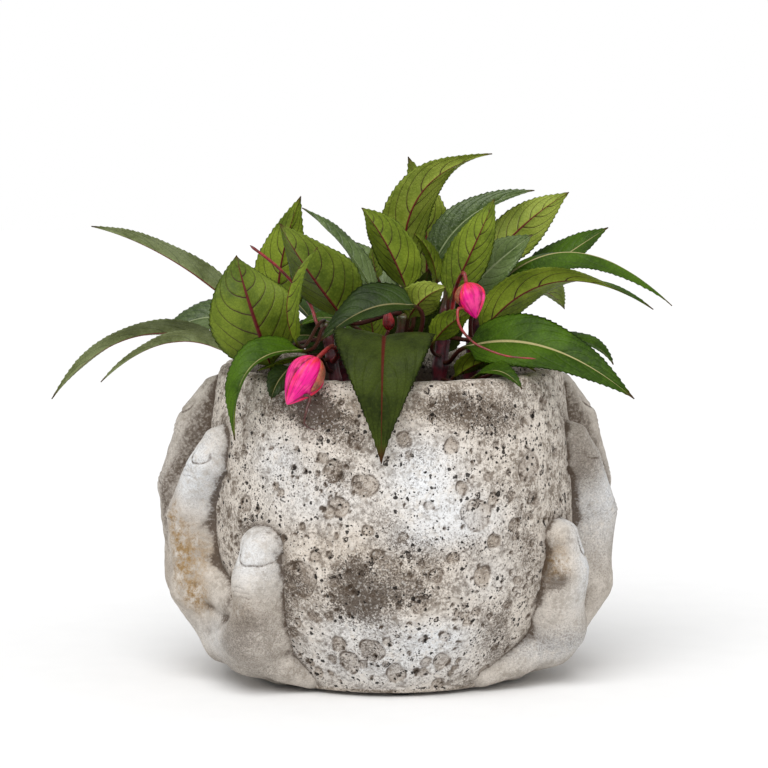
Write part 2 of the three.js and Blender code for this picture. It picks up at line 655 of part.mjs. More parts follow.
// The spur starts a gap off the petals, on the side that its first point lies.
function spurPath(bud) {
  const frame = budFrame(bud);
  const first = vector(bud.spur[0]).sub(frame.from).applyQuaternion(frame.turn.clone().invert());
  const angle = Math.atan2(first.y, first.x);
  const reach = budReach(bud.radius, bud.spurAt, angle);
  const seats = [reach + 2.5 * touchGap, reach + 4 * spurRadius];
  return [...seats.map((seat) => budPoint(frame, seat, bud.spurAt, angle)), ...bud.spur.map(vector)];
}

// A stalk starts square to its stem, a gap off it.
function rootOn(stemName, at, towards) {
  const stemPoint = stemCurves[stemName].getPoint(at);
  const out = vector(towards).sub(stemPoint).setZ(0).normalize();
  const { radius } = stems[stemName];
  const reaches = [radius + touchGap, radius + rootStraight];
  return reaches.map((reach) => stemPoint.clone().addScaledVector(out, reach));
}

function stalkGeometry(points, radius) {
  return rod(new THREE.CatmullRomCurve3(points), radius, points.length * 2, stalkSides);
}

for (const [name, bud] of Object.entries(buds)) {
  add(name, budGeometry(bud), petalPink);
  const away = vector(bud.top).sub(vector(bud.tip)).setLength(2 * touchGap);
  const path = [...rootOn(bud.stem, bud.at, bud.stalk[0]), ...bud.stalk.map(vector)];
  path.push(vector(bud.top).add(away));
  add(`${name}_stalk`, stalkGeometry(path, bud.stalkRadius), spurRed);
  if (bud.spur) add(`${name}_spur`, stalkGeometry(spurPath(bud), spurRadius), spurRed);
}

const spentRoot = rootOn(spentStalk.stem, spentStalk.at, spentStalk.path[0]);
const spentPath = [...spentRoot, ...spentStalk.path.map(vector)];
add('spent_stalk', stalkGeometry(spentPath, spentStalk.radius), spurRed);

// ---------------------------------------------------------------- place on the origin

const box = new THREE.Box3().setFromObject(group);
group.position.set(-(box.min.x + box.max.x) / 2, -(box.min.y + box.max.y) / 2, -box.min.z);
group.updateMatrixWorld(true);

export default group;
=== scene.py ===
# Potted impatiens in a cast cement planter: a cratered moon bowl held between two sculpted hands.
# Shapes are worked out in millimetres round the pot's axis and put into the frame in metres.
import math
import bpy
import numpy as np
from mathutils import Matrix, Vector


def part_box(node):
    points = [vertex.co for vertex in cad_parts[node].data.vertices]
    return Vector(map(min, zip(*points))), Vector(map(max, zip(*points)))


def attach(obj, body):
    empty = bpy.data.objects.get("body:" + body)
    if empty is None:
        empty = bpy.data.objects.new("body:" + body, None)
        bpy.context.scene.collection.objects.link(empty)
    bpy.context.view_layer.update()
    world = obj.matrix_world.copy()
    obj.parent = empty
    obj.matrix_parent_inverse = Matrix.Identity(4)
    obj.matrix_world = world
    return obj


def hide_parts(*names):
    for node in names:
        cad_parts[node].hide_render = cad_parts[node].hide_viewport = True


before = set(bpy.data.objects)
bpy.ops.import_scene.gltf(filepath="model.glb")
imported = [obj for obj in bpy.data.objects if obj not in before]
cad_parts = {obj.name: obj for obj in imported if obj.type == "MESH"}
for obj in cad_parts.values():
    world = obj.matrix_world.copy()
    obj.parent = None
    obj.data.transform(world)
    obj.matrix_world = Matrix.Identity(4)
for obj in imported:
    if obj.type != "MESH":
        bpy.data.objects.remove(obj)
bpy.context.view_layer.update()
print("frame loaded with", len(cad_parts), "nodes")

soilLow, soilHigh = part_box("soil")
potAxis = np.array([(soilLow.x + soilHigh.x) / 2, (soilLow.y + soilHigh.y) / 2, 0.0])


# Millimetres round the pot's axis to metres in the frame.
def toFrame(points):
    return np.asarray(points, float) / 1000 + potAxis


# Volume inside a closed surface: a sixth of the sum of its triangles' triple products.
def insideVolume(vertices, faceSets):
    total = 0.0
    for faces in faceSets:
        for corner in range(1, faces.shape[1] - 1):
            a, b, c = (vertices[faces[:, k]] for k in (0, corner, corner + 1))
            total += (a * np.cross(b, c)).sum() / 6
    return total


# An object in the scene round some data.
def addObject(name, data):
    made = bpy.data.objects.new(name, data)
    bpy.context.scene.collection.objects.link(made)
    return made


# A finished piece from arrays of quads and triangles, turned to face outwards. uvSets has a pair
# of numbers for every corner of them, and picks a material for every face.
def makePiece(name, vertices, faceSets, materials, slot, replaces, values=None, uvSets=None, picks=None):
    if insideVolume(vertices - vertices.mean(0), faceSets) < 0:
        faceSets = [faces[:, ::-1] for faces in faceSets]
        uvSets = uvSets and [corners[:, ::-1] for corners in uvSets]
    mesh = bpy.data.meshes.new(name)
    mesh.vertices.add(len(vertices))
    mesh.vertices.foreach_set("co", toFrame(vertices).astype(np.float32).ravel())
    corners = np.concatenate([faces.ravel() for faces in faceSets]).astype(np.int32)
    sizes = np.concatenate([np.full(len(faces), faces.shape[1]) for faces in faceSets])
    mesh.loops.add(len(corners))
    mesh.loops.foreach_set("vertex_index", corners)
    mesh.polygons.add(len(sizes))
    mesh.polygons.foreach_set("loop_start", (np.cumsum(sizes) - sizes).astype(np.int32))
    mesh.polygons.foreach_set("use_smooth", np.ones(len(sizes), bool))
    for material in materials:
        mesh.materials.append(material)
    if picks:
        mesh.polygons.foreach_set("material_index", np.concatenate(picks).astype(np.int32))
    mesh.update(calc_edges=True)
    if uvSets:
        layer = mesh.uv_layers.new(name="alongAcross")
        flat = np.concatenate([corners.reshape(-1, 2) for corners in uvSets])
        layer.data.foreach_set("uv", flat.astype(np.float32).ravel())
    for key, value in (values or {}).items():
        layer = mesh.attributes.new(key, "FLOAT", "POINT")
        layer.data.foreach_set("value", np.asarray(value, np.float32).ravel())
    mesh.validate()
    piece = addObject(name, mesh)
    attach(piece, "root")
    if replaces:
        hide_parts(*replaces)
    return piece


# The quads of a grid of rows and columns, numbered row by row, whose last column joins the first.
def gridFaces(rows, columns):
    index = np.arange(rows * columns).reshape(rows, columns)
    index = np.concatenate([index, index[:, :1]], axis=1)
    return np.stack([index[:-1, :-1], index[:-1, 1:], index[1:, 1:], index[1:, :-1]], -1).reshape(-1, 4)


# A fan of triangles from one middle point to a closed ring.
def fanFaces(middle, ring, turnRound=False):
    after = np.roll(ring, -1)
    pair = (after, ring) if turnRound else (ring, after)
    return np.stack([np.full(len(ring), middle), *pair], -1)


# Rings of points closed at both ends by a fan to the ring's own middle, as vertices and faces.
def closedTube(rings):
    rows, columns = rings.shape[:2]
    last = rows * columns
    vertices = np.concatenate([rings.reshape(-1, 3), [rings[0].mean(0), rings[-1].mean(0)]])
    fans = [fanFaces(last, np.arange(columns), True), fanFaces(last + 1, np.arange(last - columns, last))]
    return vertices, [gridFaces(rows, columns), np.concatenate(fans)]


# A share from 0 to 1 between two values, flat at both: 3t^2 - 2t^3.
def smoothStep(low, high, value):
    t = np.clip((value - low) / (high - low), 0, 1)
    return t * t * (3 - 2 * t)


# Rolling noise in one to three coordinates: a seeded sum of sine waves in many directions.
def waveNoise(coords, size, seed, waves=14):
    random = np.random.default_rng(seed)
    total = np.zeros(coords.shape[:-1])
    for wave in range(waves):
        direction = random.normal(size=coords.shape[-1])
        direction /= np.linalg.norm(direction)
        stretch = size * random.uniform(0.6, 1.8)
        total += np.sin(coords @ direction * 2 * np.pi / stretch + random.uniform(0, 2 * np.pi))
    return total / math.sqrt(waves)


# Several rolling noises together, each with its depth, wave length and seed.
def rolling(coords, waves, seed=0):
    return sum(depth * waveNoise(coords, size, seed + own) for depth, size, own in waves)


# A web colour as linear light.
def paint(code):
    channels = [int(code[i:i + 2], 16) / 255 for i in (1, 3, 5)]
    return tuple(c / 12.92 if c <= 0.04045 else ((c + 0.055) / 1.055) ** 2.4 for c in channels) + (1.0,)


def newMaterial(name, roughness, gloss=0.5, **plain):
    material = bpy.data.materials.new(name)
    material.use_nodes = True
    shader = material.node_tree.nodes["Principled BSDF"]
    for key, value in ({"Roughness": roughness, "Specular IOR Level": gloss} | plain).items():
        shader.inputs[key].default_value = value
    return material, material.node_tree


# A node whose inputs are sockets, plain values or web colours, in the tree that a socket is in.
def addNode(kind, inputs, tree=None, **settings):
    tree = tree or next(value.id_data for value in inputs.values() if isinstance(value, bpy.types.NodeSocket))
    node = tree.nodes.new("ShaderNode" + kind)
    for key, value in settings.items():
        setattr(node, key, value)
    for key, value in inputs.items():
        if isinstance(value, bpy.types.NodeSocket):
            tree.links.new(value, node.inputs[key])
        else:
            node.inputs[key].default_value = paint(value) if isinstance(value, str) else value
    return node


def calc(operation, a, b=0.0, c=0.0):
    return addNode("Math", {0: a, 1: b, 2: c}, operation=operation).outputs[0]


def times(a, b):
    return calc("MULTIPLY", a, b)


def plus(a, b):
    return calc("ADD", a, b)


def minus(a, b):
    return calc("SUBTRACT", a, b)


# a times b, plus c.
def timesPlus(a, b, c):
    return calc("MULTIPLY_ADD", a, b, c)


def objectCoords(tree):
    return addNode("TexCoord", {}, tree).outputs["Object"]


# The values that a piece carries under some names.
def attributes(tree, *names):
    return [addNode("Attribute", {}, tree, attribute_name=name).outputs["Fac"] for name in names]


def noise(coords, scale, detail=4.0, roughness=0.6, distortion=0.0, output="Fac"):
    return addNode("TexNoise", {
        "Vector": coords, "Scale": scale, "Detail": detail, "Roughness": roughness, "Distortion": distortion,
    }).outputs[output]


def cells(coords, scale, feature="F1"):
    return addNode("TexVoronoi", {"Vector": coords, "Scale": scale}, feature=feature)


# A value carried from one range into another and held at its ends.
def spread(value, low, high, toLow=0.0, toHigh=1.0, curve="SMOOTHSTEP"):
    return addNode("MapRange", {
        "Value": value, "From Min": low, "From Max": high, "To Min": toLow, "To Max": toHigh,
    }, interpolation_type=curve, clamp=True).outputs["Result"]


# Colours laid over a first one, each by its own share.
def layered(colour, *layers):
    for share, shade in layers:
        colour = addNode("Mix", {0: share, 6: colour, 7: shade}, data_type="RGBA").outputs[2]
    return colour


# A material with its colour, and a bump from a height.
def coated(material, colour, height, depth, strength=1.0):
    tree = material.node_tree
    bump = addNode("Bump", {"Height": height, "Distance": depth, "Strength": strength})
    tree.links.new(colour, tree.nodes["Principled BSDF"].inputs["Base Color"])
    tree.links.new(bump.outputs["Normal"], tree.nodes["Principled BSDF"].inputs["Normal"])
    return material


cementLook = {
    "cream": "#d8cfc4", "chalk": "#e6e8ea", "grey": "#7e7367", "pitting": 1.0, "grain": 0.9,
    # the crease brown is painted shade in creases, along crater walls, beside the hands and inside the bowl
    "floorBrown": "#93867a", "stainAndShadeDark": "#382b20", "washYellow": "#9c8058", "pitShade": "#1a1613",
    "creaseShadeBrown": "#4d3f33", "lightGrain": "#efece6", "darkGrain": "#5d534a",
    # pits: cells in a metre, share of the cells that have one, radius as a share of a cell
    "pits": {"large": [150, 0.5, 0.34], "middle": [330, 0.52, 0.38], "small": [760, 0.35, 0.44]},
    # the pit lean shifts a copy of the large pits, so that a painted shadow crescent is left on one side of each
    "pitLean": (0.0005, 0.0, -0.0004), "warp": (0.0017, 0.0017, 0.0017),
}
handLook = cementLook | {"cream": "#cdc5bb", "chalk": "#e4e6e8", "grey": "#a0978c", "pitting": 0.0, "grain": 0.15}


# Round holes in some of the cells of a warped cell pattern: a hole is where the distance to
# the cell's point is under the cell's own radius, which most cells have as nothing.
def pitHoles(coords, pits, gather):
    scale, share, reach = pits
    cell = cells(coords, scale)
    chance = addNode("SeparateXYZ", {0: cell.outputs["Color"]}).outputs[0]
    radius = spread(plus(chance, gather), 1 - share, 1.05, -0.1, reach, "LINEAR")
    return spread(minus(radius, cell.outputs["Distance"]), -0.01, 0.05)


# Cast cement: pale and grey grain, chalky, stained and washed where the piece's own values say
# so, and pitted in patches. Stains aren't smooth: they lower the level at which grain turns dark.
# Painted shade darkens it where its values mark creases and hollows, and fills the pits, with a
# painted shadow crescent on one side of the larger ones.
def cementMaterial(name, look):
    material, tree = newMaterial(name, 0.95, 0.15)
    coords = objectCoords(tree)
    floor, pale, wash, stain, hollow = attributes(tree, "floor", "pale", "wash", "stain", "hollow")
    broad, patch, mottle = noise(coords, 30, 3), noise(coords, 95, 3), noise(coords, 300, 5, 0.75)
    speck, grit, sand = noise(coords, 1150, 3, 0.75), noise(coords, 700, 2, 0.5), noise(coords, 1900, 1, 0.5)
    grain, even = look["grain"], 1 - look["grain"]
    stain = plus(stain, timesPlus(broad, 0.7, -0.35))
    level = timesPlus(stain, 0.26, timesPlus(speck, 0.6, times(mottle, 0.4)))
    warp = noise(coords, 700, 2, 0.5, output="Color")
    shift = addNode("VectorMath", {0: warp, 1: look["warp"], 2: coords}, operation="MULTIPLY_ADD").outputs[0]
    lean = addNode("VectorMath", {0: shift, 1: look["pitLean"]}, operation="ADD").outputs[0]
    gather = times(minus(patch, 0.5 + (1 - look["pitting"]) * 0.3), 1.5)
    wide = pitHoles(shift, look["pits"]["large"], gather)
    lit = pitHoles(lean, look["pits"]["large"], gather)
    # what of a large pit lies outside its shifted copy is its painted shadow crescent
    pits = calc("MAXIMUM", minus(wide, lit), times(wide, spread(speck, 0.5, 0.4)))
    for size in ("middle", "small"):
        pits = calc("MAXIMUM", pits, pitHoles(shift, look["pits"][size], gather))
    hollow = times(hollow, spread(grit, 0.3, 0.62, 0.6, 1.15))
    colour = layered(
        look["grey"],
        (spread(patch, 0.4, 0.62), look["cream"]),
        (spread(mottle, 0.45, 0.57, 0.25 * even), look["cream"]),
        (times(floor, spread(mottle, 0.3, 0.6, 0.1, 0.5)), look["floorBrown"]),
        (times(pale, spread(mottle, 0.34, 0.56, 0.35)), look["chalk"]),
        (times(wash, spread(mottle, 0.35, 0.62)), look["washYellow"]),
        (times(spread(level, 0.54 - 0.12 * even, 0.65 + 0.18 * even), 0.7 + 0.2 * grain), look["stainAndShadeDark"]),
        (times(spread(grit, 0.56, 0.66), 0.3 * grain), look["lightGrain"]),
        (spread(sand, 0.52, 0.66, 0.0, 0.25), look["floorBrown"]),
        (times(spread(grit, 0.46, 0.3), 0.7 * grain), look["darkGrain"]),
        (times(wide, 0.5), look["floorBrown"]),
        # painted shade in creases, along crater walls, beside the hands and inside the bowl
        (spread(hollow, 0.08, 1.0, 0.0, 0.9), look["creaseShadeBrown"]),
        # the darkest colour in the pits is painted shade
        (times(pits, 0.93), look["pitShade"]),
    )
    height = plus(minus(times(mottle, 0.5), pits), times(speck, 0.6))
    return coated(material, colour, height, 0.0008)


moonCement = cementMaterial("moonCement", cementLook)
handCement = cementMaterial("handCement", handLook)

bowl = {
    "baseZ": 2.0, "rimZ": 164.0, "rimRadius": 88.0, "moonRadius": 95.0, "moonZ": 90.0, "baseRadius": 62.0,
    "wall": 12.0, "floorZ": 16.0, "floorRadius": 54.0, "rimRound": 4.0, "footRound": 2.5,
    "frontColumns": 330, "backColumns": 150, "frontTurn": 72.0, "rows": 178, "seededCraters": 660, "chip": 0.35,
    "innerLevels": (156.0, 151.0, 146.0, 118.0, 90.0, 35.0),
    "rolling": [[0.45, 30, 3], [0.16, 7, 4], [0.1, 3.2, 6]],
}


# Radius of the bowl at a height: two quarter ellipses that meet at the widest ring.
def moonProfile(z):
    tall = {end: abs(bowl[end + "Z"] - bowl["moonZ"]) / math.sqrt(1 - (bowl[end + "Radius"] / bowl["moonRadius"]) ** 2)
            for end in ("rim", "base")}
    share = (z - bowl["moonZ"]) / np.where(z > bowl["moonZ"], tall["rim"], tall["base"])
    return bowl["moonRadius"] * np.sqrt(np.clip(1 - share ** 2, 0, 1))


# A point at an angle back from the front, positive towards +X, at a radius and a height.
def aroundPot(angle, radius, z):
    return np.stack([radius * np.sin(angle), -radius * np.cos(angle), z + 0 * radius], -1)


# A hand is made of tapered bones whose skins run softly into each other. A joint has its angle from
# the front, its height, how far it stands out of the bowl, and its radius.
hands = {
    "digits": {
        "thumb": [[42.3, 78.5, 3, 9.8], [44, 62, 7, 12], [46, 45, 8, 11.5], [50, 31, 9, 13], [59, 21, 7, 12.6]],
        "index": [
            [68, 127.5, 2.5, 8.2], [69.5, 117, 6.5, 9.4], [76, 101, 10, 9.2], [79.5, 86, 12, 11], [80, 50, 11, 14],
        ],
        "middle": [[93, 149, 1, 8.5], [94, 132, 9, 10.5], [95, 118, 11.5, 11], [97, 98, 16, 12], [100, 52, 14, 15]],
        "ring": [[117, 146, 1, 8.5], [117, 130, 6, 9.5], [116, 116, 9, 10.5], [116, 98, 12, 11.5], [116, 52, 12, 14.5]],
        "little": [[139, 124, 1, 7.5], [137, 110, 5, 8.5], [134, 88, 9, 10], [130, 50, 10, 13]],
    },
    "heel": [[60, 22, 7, 12], [78, 22, 10, 12.4], [95, 22, 11, 12.6], [110, 22, 9, 13], [122, 24, 8, 13]],
    "underHeel": [[60, 9, -4, 10], [78, 9, -3, 10], [95, 9, -3, 10], [110, 9, -3, 10], [122, 10, -4, 10]],
    "web": [[54, 41, 2, 9], [80, 57, 6, 12]],
    "thumbSide": [[58, 32, 3, 11], [78, 38, 7, 12]],
    "thumbTip": [[40.4, 80.2, 3, 8.3], [44.2, 80.2, 3, 8.3]],
    "between": [
        [[86, 100, -8, 8], [88, 50, 8, 13]], [[106, 112, -6, 8.5], [108, 50, 8, 13]],
        [[126, 101, -6, 8], [123, 50, 7, 12.5]],
    ],
    # thumbTurn and nailTurn set a thumb and its nail further back; the ball of the thumb runs under the bowl
    "left": {"side": -1, "turn": 0, "thumbTurn": 0, "nailTurn": 0,
             "ball": [[54, 26, 6, 12], [47, 15, 2, 10], [41, 9, -3, 7]]},
    "right": {"side": 1, "turn": 12, "thumbTurn": 9, "nailTurn": 15,
              "ball": [[61, 26, 6, 12], [48, 16, 1, 10], [34, 9, -3, 7]]},
    "digitBlend": 3.0, "palmBlend": 8.0, "moonBlend": 2.0, "under": 2.5, "outermost": 34.0, "steps": 46,
    "steepest": 4.5, "seatRings": 10, "seatDepth": 6, "rolling": [[0.35, 22, 0], [0.12, 6, 1]],
    # painted shade between fingers: where from one to the next, half width in degrees, strength; and beside the thumb
    "grooveShares": (0.76, 0.5, 0.5), "groove": (1.8, 0.7), "thumbGroove": (12.5, 3.4, 0.55),
    # a nail's corner as a share of its half width, depth and half width of the groove round it, how far
    # it is sunk, and height, inset and half width of its swell
    "corner": 0.7, "nailGroove": (0.85, 0.85), "nailSunk": 0.25, "nailSwell": (0.3, 2.2, 1.3),
    # a knuckle: heights of its wrinkles over and under it, their depth, half width and half length, its swell
    "lines": (-2.6, 0.0, 2.4), "wrinkle": (0.42, 0.65, 6.5), "knuckle": (0.5, 5.5, 7),
    "firstAngle": 24.0, "lastAngle": 162.0, "topZ": 158.5, "rows": 262, "columns": 350,
    # nail: angle, height, half width, half height; then the heights of the two knuckles' wrinkles
    "nails": {
        "thumb": [40.9, 80.2, 8.4, 9.8], "index": [67, 124, 4.4, 6.6], "middle": [93, 146, 6, 7.5],
        "ring": [117, 143, 5.8, 7], "little": [139, 121.5, 5, 6],
    },
    "wrinkles": {
        "thumb": [57], "index": [113, 89], "middle": [130, 104], "ring": [127, 101], "little": [108, 90],
    },
}


# Distance to a rod with a round end of its own radius at each joint, the smallest over a list of rods.
def nearestBone(points, bones):
    nearest = np.full(points.shape[:-1], 1e9)
    for start, end, r0, r1 in bones:
        along = end - start
        t = np.clip(((points - start) @ along) / (along @ along), 0, 1)
        gap = np.linalg.norm(points - start - t[..., None] * along, axis=-1) - (r0 + (r1 - r0) * t)
        nearest = np.minimum(nearest, gap)
    return nearest


# The smaller of two distances, rounded where they are alike.
def blended(a, b, width):
    near = np.clip(width - np.abs(a - b), 0, None) / width
    return np.minimum(a, b) - near * near * width / 4


# The rods between neighbouring joints, which can all be turned further back.
def chain(hand, joints, further=0.0):
    angle, height, out, radius = np.array(joints, float).T
    places = aroundPot(np.radians(angle + hand["turn"] + further) * hand["side"], moonProfile(height) + out, height)
    return list(zip(places[:-1], places[1:], radius[:-1], radius[1:]))


# A hand's fingers, each a list of rods, and its palm: the roots of the fingers, what runs from
# them to the heel, and flesh between.
def skeleton(hand):
    thumb, *others = hands["digits"].values()
    heel, back = hands["heel"], hand["thumbTurn"]
    roots = [joints[-1] for joints in others]
    thumbRoot = [thumb[3][0] + back] + thumb[3][1:]
    parts = [roots, heel, hands["underHeel"], hands["web"], hands["thumbSide"], hand["ball"], *hands["between"]]
    palm = sum((chain(hand, joints) for joints in [*parts, *zip(roots, heel[1:]), [thumbRoot, heel[1]]]), [])
    thumbRods = chain(hand, thumb, back) + chain(hand, hands["thumbTip"], back)
    return [thumbRods] + [chain(hand, joints) for joints in others], palm


# Distance to a hand: its fingers, then its palm, each softly joined.
def handDistance(points, bones):
    fingers, palm = bones
    field = nearestBone(points, fingers[0])
    for finger in fingers[1:]:
        field = blended(field, nearestBone(points, finger), hands["digitBlend"])
    return blended(field, nearestBone(points, palm), hands["palmBlend"])


# Outermost radius where a level ray meets the hand or a bowl a little inside the real one:
# steps inwards by most of the distance that is free.
def handRadius(bones, angle, z):
    inner = moonProfile(z) - hands["under"]
    radius = inner + hands["outermost"]
    for step in range(hands["steps"]):
        gap = handDistance(aroundPot(angle, radius, z), bones)
        radius = np.maximum(radius - 0.85 * blended(radius - inner, gap, hands["moonBlend"]), inner)
    return radius


# Nails and wrinkles as heights over the skin: a nail is a flat plate in a groove, and a knuckle
# has three shallow grooves that bow towards the fingertip.
def handRelief(hand, angle, z, radius):
    back = np.degrees(angle) * hand["side"] - hand["turn"]
    relief = 0.0 * z
    (deep, wide), (rise, inset, swellWide) = hands["nailGroove"], hands["nailSwell"]
    (lineDeep, lineWide, lineLong), (knuckle, tall, broad) = hands["wrinkle"], hands["knuckle"]
    for name, (nailAngle, nailZ, halfWidth, halfHeight) in hands["nails"].items():
        across = np.radians(back - nailAngle - (hand["nailTurn"] if name == "thumb" else 0)) * radius
        up = z - nailZ
        corner = hands["corner"] * halfWidth
        dx = np.abs(across) - halfWidth + corner
        dz = np.abs(up + 0.06 * across ** 2 * np.sign(-up) / halfWidth) - halfHeight + corner
        edge = np.hypot(np.clip(dx, 0, None), np.clip(dz, 0, None)) + np.minimum(np.maximum(dx, dz), 0) - corner
        fold = 0.3 + 0.7 * smoothStep(0.3 * halfHeight, -0.75 * halfHeight, up)
        relief -= deep * fold * np.exp(-(edge / wide) ** 2) + hands["nailSunk"] * smoothStep(0.6, -1.5, edge)
        relief += rise * fold * np.exp(-((edge + inset) / swellWide) ** 2)
    for name, heights in hands["wrinkles"].items():
        joints = np.array(hands["digits"][name], float)
        for height in heights:
            middle = np.interp(height, joints[::-1, 1], joints[::-1, 0])
            across = np.radians(back - middle) * radius
            for line in hands["lines"]:
                bow = height + line - 0.022 * across ** 2 + 0.25 * np.sin(across * 0.9 + line)
                relief -= lineDeep * np.exp(-((z - bow) / lineWide) ** 2 - (across / lineLong) ** 4)
            relief += knuckle * np.exp(-((z - height) / tall) ** 2 - (across / broad) ** 2)
    return relief


# Painted shade in the grooves between neighbouring fingers, each at a share of the way from one to the next,
# and beside the thumb, where it leaves the palm.
def fingerGrooveShade(back, z, thumbTurn):
    thumb, *middles = [np.interp(z, *np.array(joints, float)[::-1, 1::-1].T) for joints in hands["digits"].values()]
    (wide, strength), (apart, thumbWide, thumbStrength) = hands["groove"], hands["thumbGroove"]
    grooves = sum(np.exp(-((back - near - (far - near) * share) / wide) ** 2)
                  for near, far, share in zip(middles[:-1], middles[1:], hands["grooveShares"]))
    beside = np.exp(-((back - thumb - thumbTurn - apart) / thumbWide) ** 2) * smoothStep(26, 46, z)
    return strength * grooves * smoothStep(46, 100, z) + thumbStrength * beside * smoothStep(84, 70, z)


# Each value with its neighbours along both ways of a grid, as 1, 2, 1, a number of times over.
def softened(grid, rounds):
    for again in range(rounds):
        padded = np.pad(grid, 1, mode="edge")
        rows = (padded[:-2] + 2 * padded[1:-1] + padded[2:]) / 4
        grid = (rows[:, :-2] + 2 * rows[:, 1:-1] + rows[:, 2:]) / 4
    return grid


# A finger's flank may overhang, which a radius for each angle can't show: the radius is raised
# beside a higher place until no flank is steeper than a set slope, on every level and up and down.
def flanksEased(radius, angle, heights):
    ways = (bowl["moonRadius"] * np.abs(angle - angle[:1]), np.broadcast_to(heights - heights[0], radius.shape))
    for axis, way in enumerate(ways):
        run = hands["steepest"] * way
        forward = np.maximum.accumulate(radius + run, axis) - run
        backward = np.flip(np.maximum.accumulate(np.flip(radius - run, axis), axis), axis) + run
        radius = np.maximum(forward, backward)
    return radius


# Mean height of the four neighbours over a point, positive in hollows and negative on ridges.
def hollowness(radius, reach):
    rows, columns = (np.pad(radius, [(reach, reach) if axis == way else (0, 0) for axis in (0, 1)], "edge")
                     for way in (0, 1))
    around = rows[:-2 * reach] + rows[2 * reach:] + columns[:, :-2 * reach] + columns[:, 2 * reach:]
    return around / 4 - radius


# Each kind of patch (stains, chalky pale and wash, with a painted shade and a painted light among them) on a grid of
# angle and height: a bell shape for every patch, summed.
def allPatches(angle, z, patches):
    back = np.degrees(angle)
    return {key: sum(strength * np.exp(-((back - middle) / wide) ** 2 - ((z - height) / tall) ** 2)
                     for middle, height, wide, tall, strength in places) for key, places in patches.items()}


# Angles for each level's columns, so that they stand equally far apart along the skin: the
# length along the skin is summed over a plain grid, evened with the levels near it, and turned round.
def evenAngles(hand, bones, first, last, heights):
    plain = np.radians(np.linspace(first, last, 300))
    levels = heights[::6]
    angle, z = np.meshgrid(plain * hand["side"], levels, indexing="ij")
    radius = flanksEased(handRadius(bones, angle, z), angle, levels)
    step = np.hypot(np.diff(radius, axis=0), 0.5 * (radius[1:] + radius[:-1]) * np.diff(plain)[:, None])
    length = np.concatenate([np.zeros((1, len(levels))), np.cumsum(step, axis=0)])
    share = softened(length / length[-1], 3)
    share = (share - share[0]) / (share[-1] - share[0])
    wanted = np.linspace(0, 1, hands["columns"])
    coarse = np.stack([np.interp(wanted, share[:, k], plain) for k in range(len(levels))], 1)
    place = np.interp(heights, levels, np.arange(len(levels)))
    low = np.minimum(place.astype(int), len(levels) - 2)
    return (coarse[:, low] + (coarse[:, low + 1] - coarse[:, low]) * (place - low)) * hand["side"]


# A hand's skin over a grid of angle and height, closed by a thin back inside the bowl's wall.
def makeHand(name, hand, patches, seed):
    bones = skeleton(hand)
    first, last = hands["firstAngle"] + hand["turn"], hands["lastAngle"] + hand["turn"]
    ground = bowl["baseZ"] + 0.05
    heights = np.linspace(ground, hands["topZ"], hands["rows"])
    angle = evenAngles(hand, bones, first, last, heights)
    z = np.broadcast_to(heights, angle.shape)
    shape = softened(flanksEased(handRadius(bones, angle, z), angle, heights), 4)
    clear = shape - moonProfile(z)
    relief = handRelief(hand, angle, z, shape) + rolling(aroundPot(angle, shape, z), hands["rolling"], seed)
    radius = shape + relief * smoothStep(hands["under"] - 0.5, hands["under"] + 1.5, clear + hands["under"])
    toFoot = np.clip(bowl["footRound"] - (z - bowl["baseZ"]), 0, None)
    radius -= bowl["footRound"] - np.sqrt(bowl["footRound"] ** 2 - toFoot ** 2)
    # painted shade: in the nail grooves and knuckle wrinkles, in the hand's hollows, between the fingers and beside the
    # thumb, and where the hand meets the bowl
    hollow = np.clip(hollowness(relief, 2) * 2.2, 0, 0.8)
    hollow += np.clip(hollowness(shape, 8) * 0.4 - 0.12, 0, 0.7) * smoothStep(14, 36, z)
    hollow += fingerGrooveShade(np.degrees(angle) * hand["side"] - hand["turn"], z, hand["thumbTurn"])
    hollow += 0.6 * np.exp(-np.clip(clear, 0, None) / 2.4) * smoothStep(0, 26, z)
    inside = np.linspace(hands["topZ"], ground, hands["seatRings"])
    behind = angle[:, np.interp(inside, heights, np.arange(len(heights))).astype(int)]
    inner = aroundPot(behind, moonProfile(inside) - hands["seatDepth"] + 0 * behind, inside)
    rings = np.concatenate([aroundPot(angle, radius, z), inner], axis=1)
    values = {"hollow": hollow, "floor": 0 * hollow} | allPatches(angle, z, patches)
    for key, value in values.items():
        values[key] = np.append(np.concatenate([value, 0 * behind], axis=1), [0, 0])
    return makePiece(name, *closedTube(rings), [handCement], "cast_cement", ["planter"], values)


# Measured craters: angle from the front, height, radius, depth.
measuredCraters = [
    [-18, 120, 5.6, 1.0], [-8, 113, 6.6, 1.0], [-16, 102, 5.6, 1.2], [48, 118, 8.2, 0.8], [27, 97, 8.6, 0.7],
    [33, 104, 3.6, 1.2], [22, 111, 3.6, 1.2], [-30, 64, 10, 0.9], [30, 65, 5.6, 1.0], [14, 67, 4.2, 0.9],
    [-16, 20, 6, 1.1], [-7, 27, 6.6, 1.1], [-19, 30, 4.2, 1.0], [-51, 99, 4.4, 1.2], [33, 83, 4, 1.1],
    [4, 136, 4.2, 0.9], [-11, 136, 4, 0.8], [19, 132, 4.2, 1.0], [49, 102, 4, 1.2], [41, 90, 4, 1.1],
    [21, 6, 4, 1.0], [20, 20, 5, 0.9], [2, 14, 5.5, 1.0], [-24, 76, 3.4, 1.2], [-4, 78, 3.6, 1.0], [9, 52, 4.6, 0.8],
    [180, 100, 9, 1.2], [168, 62, 7, 1.1], [196, 128, 6, 1.0], [190, 40, 8, 1.1],
]
pebbles = [[-7, 54, 2.6, -1.0], [-1, 47, 1.8, -0.7], [5, 58, 1.6, -0.6], [-12, 48, 1.4, -0.5]]
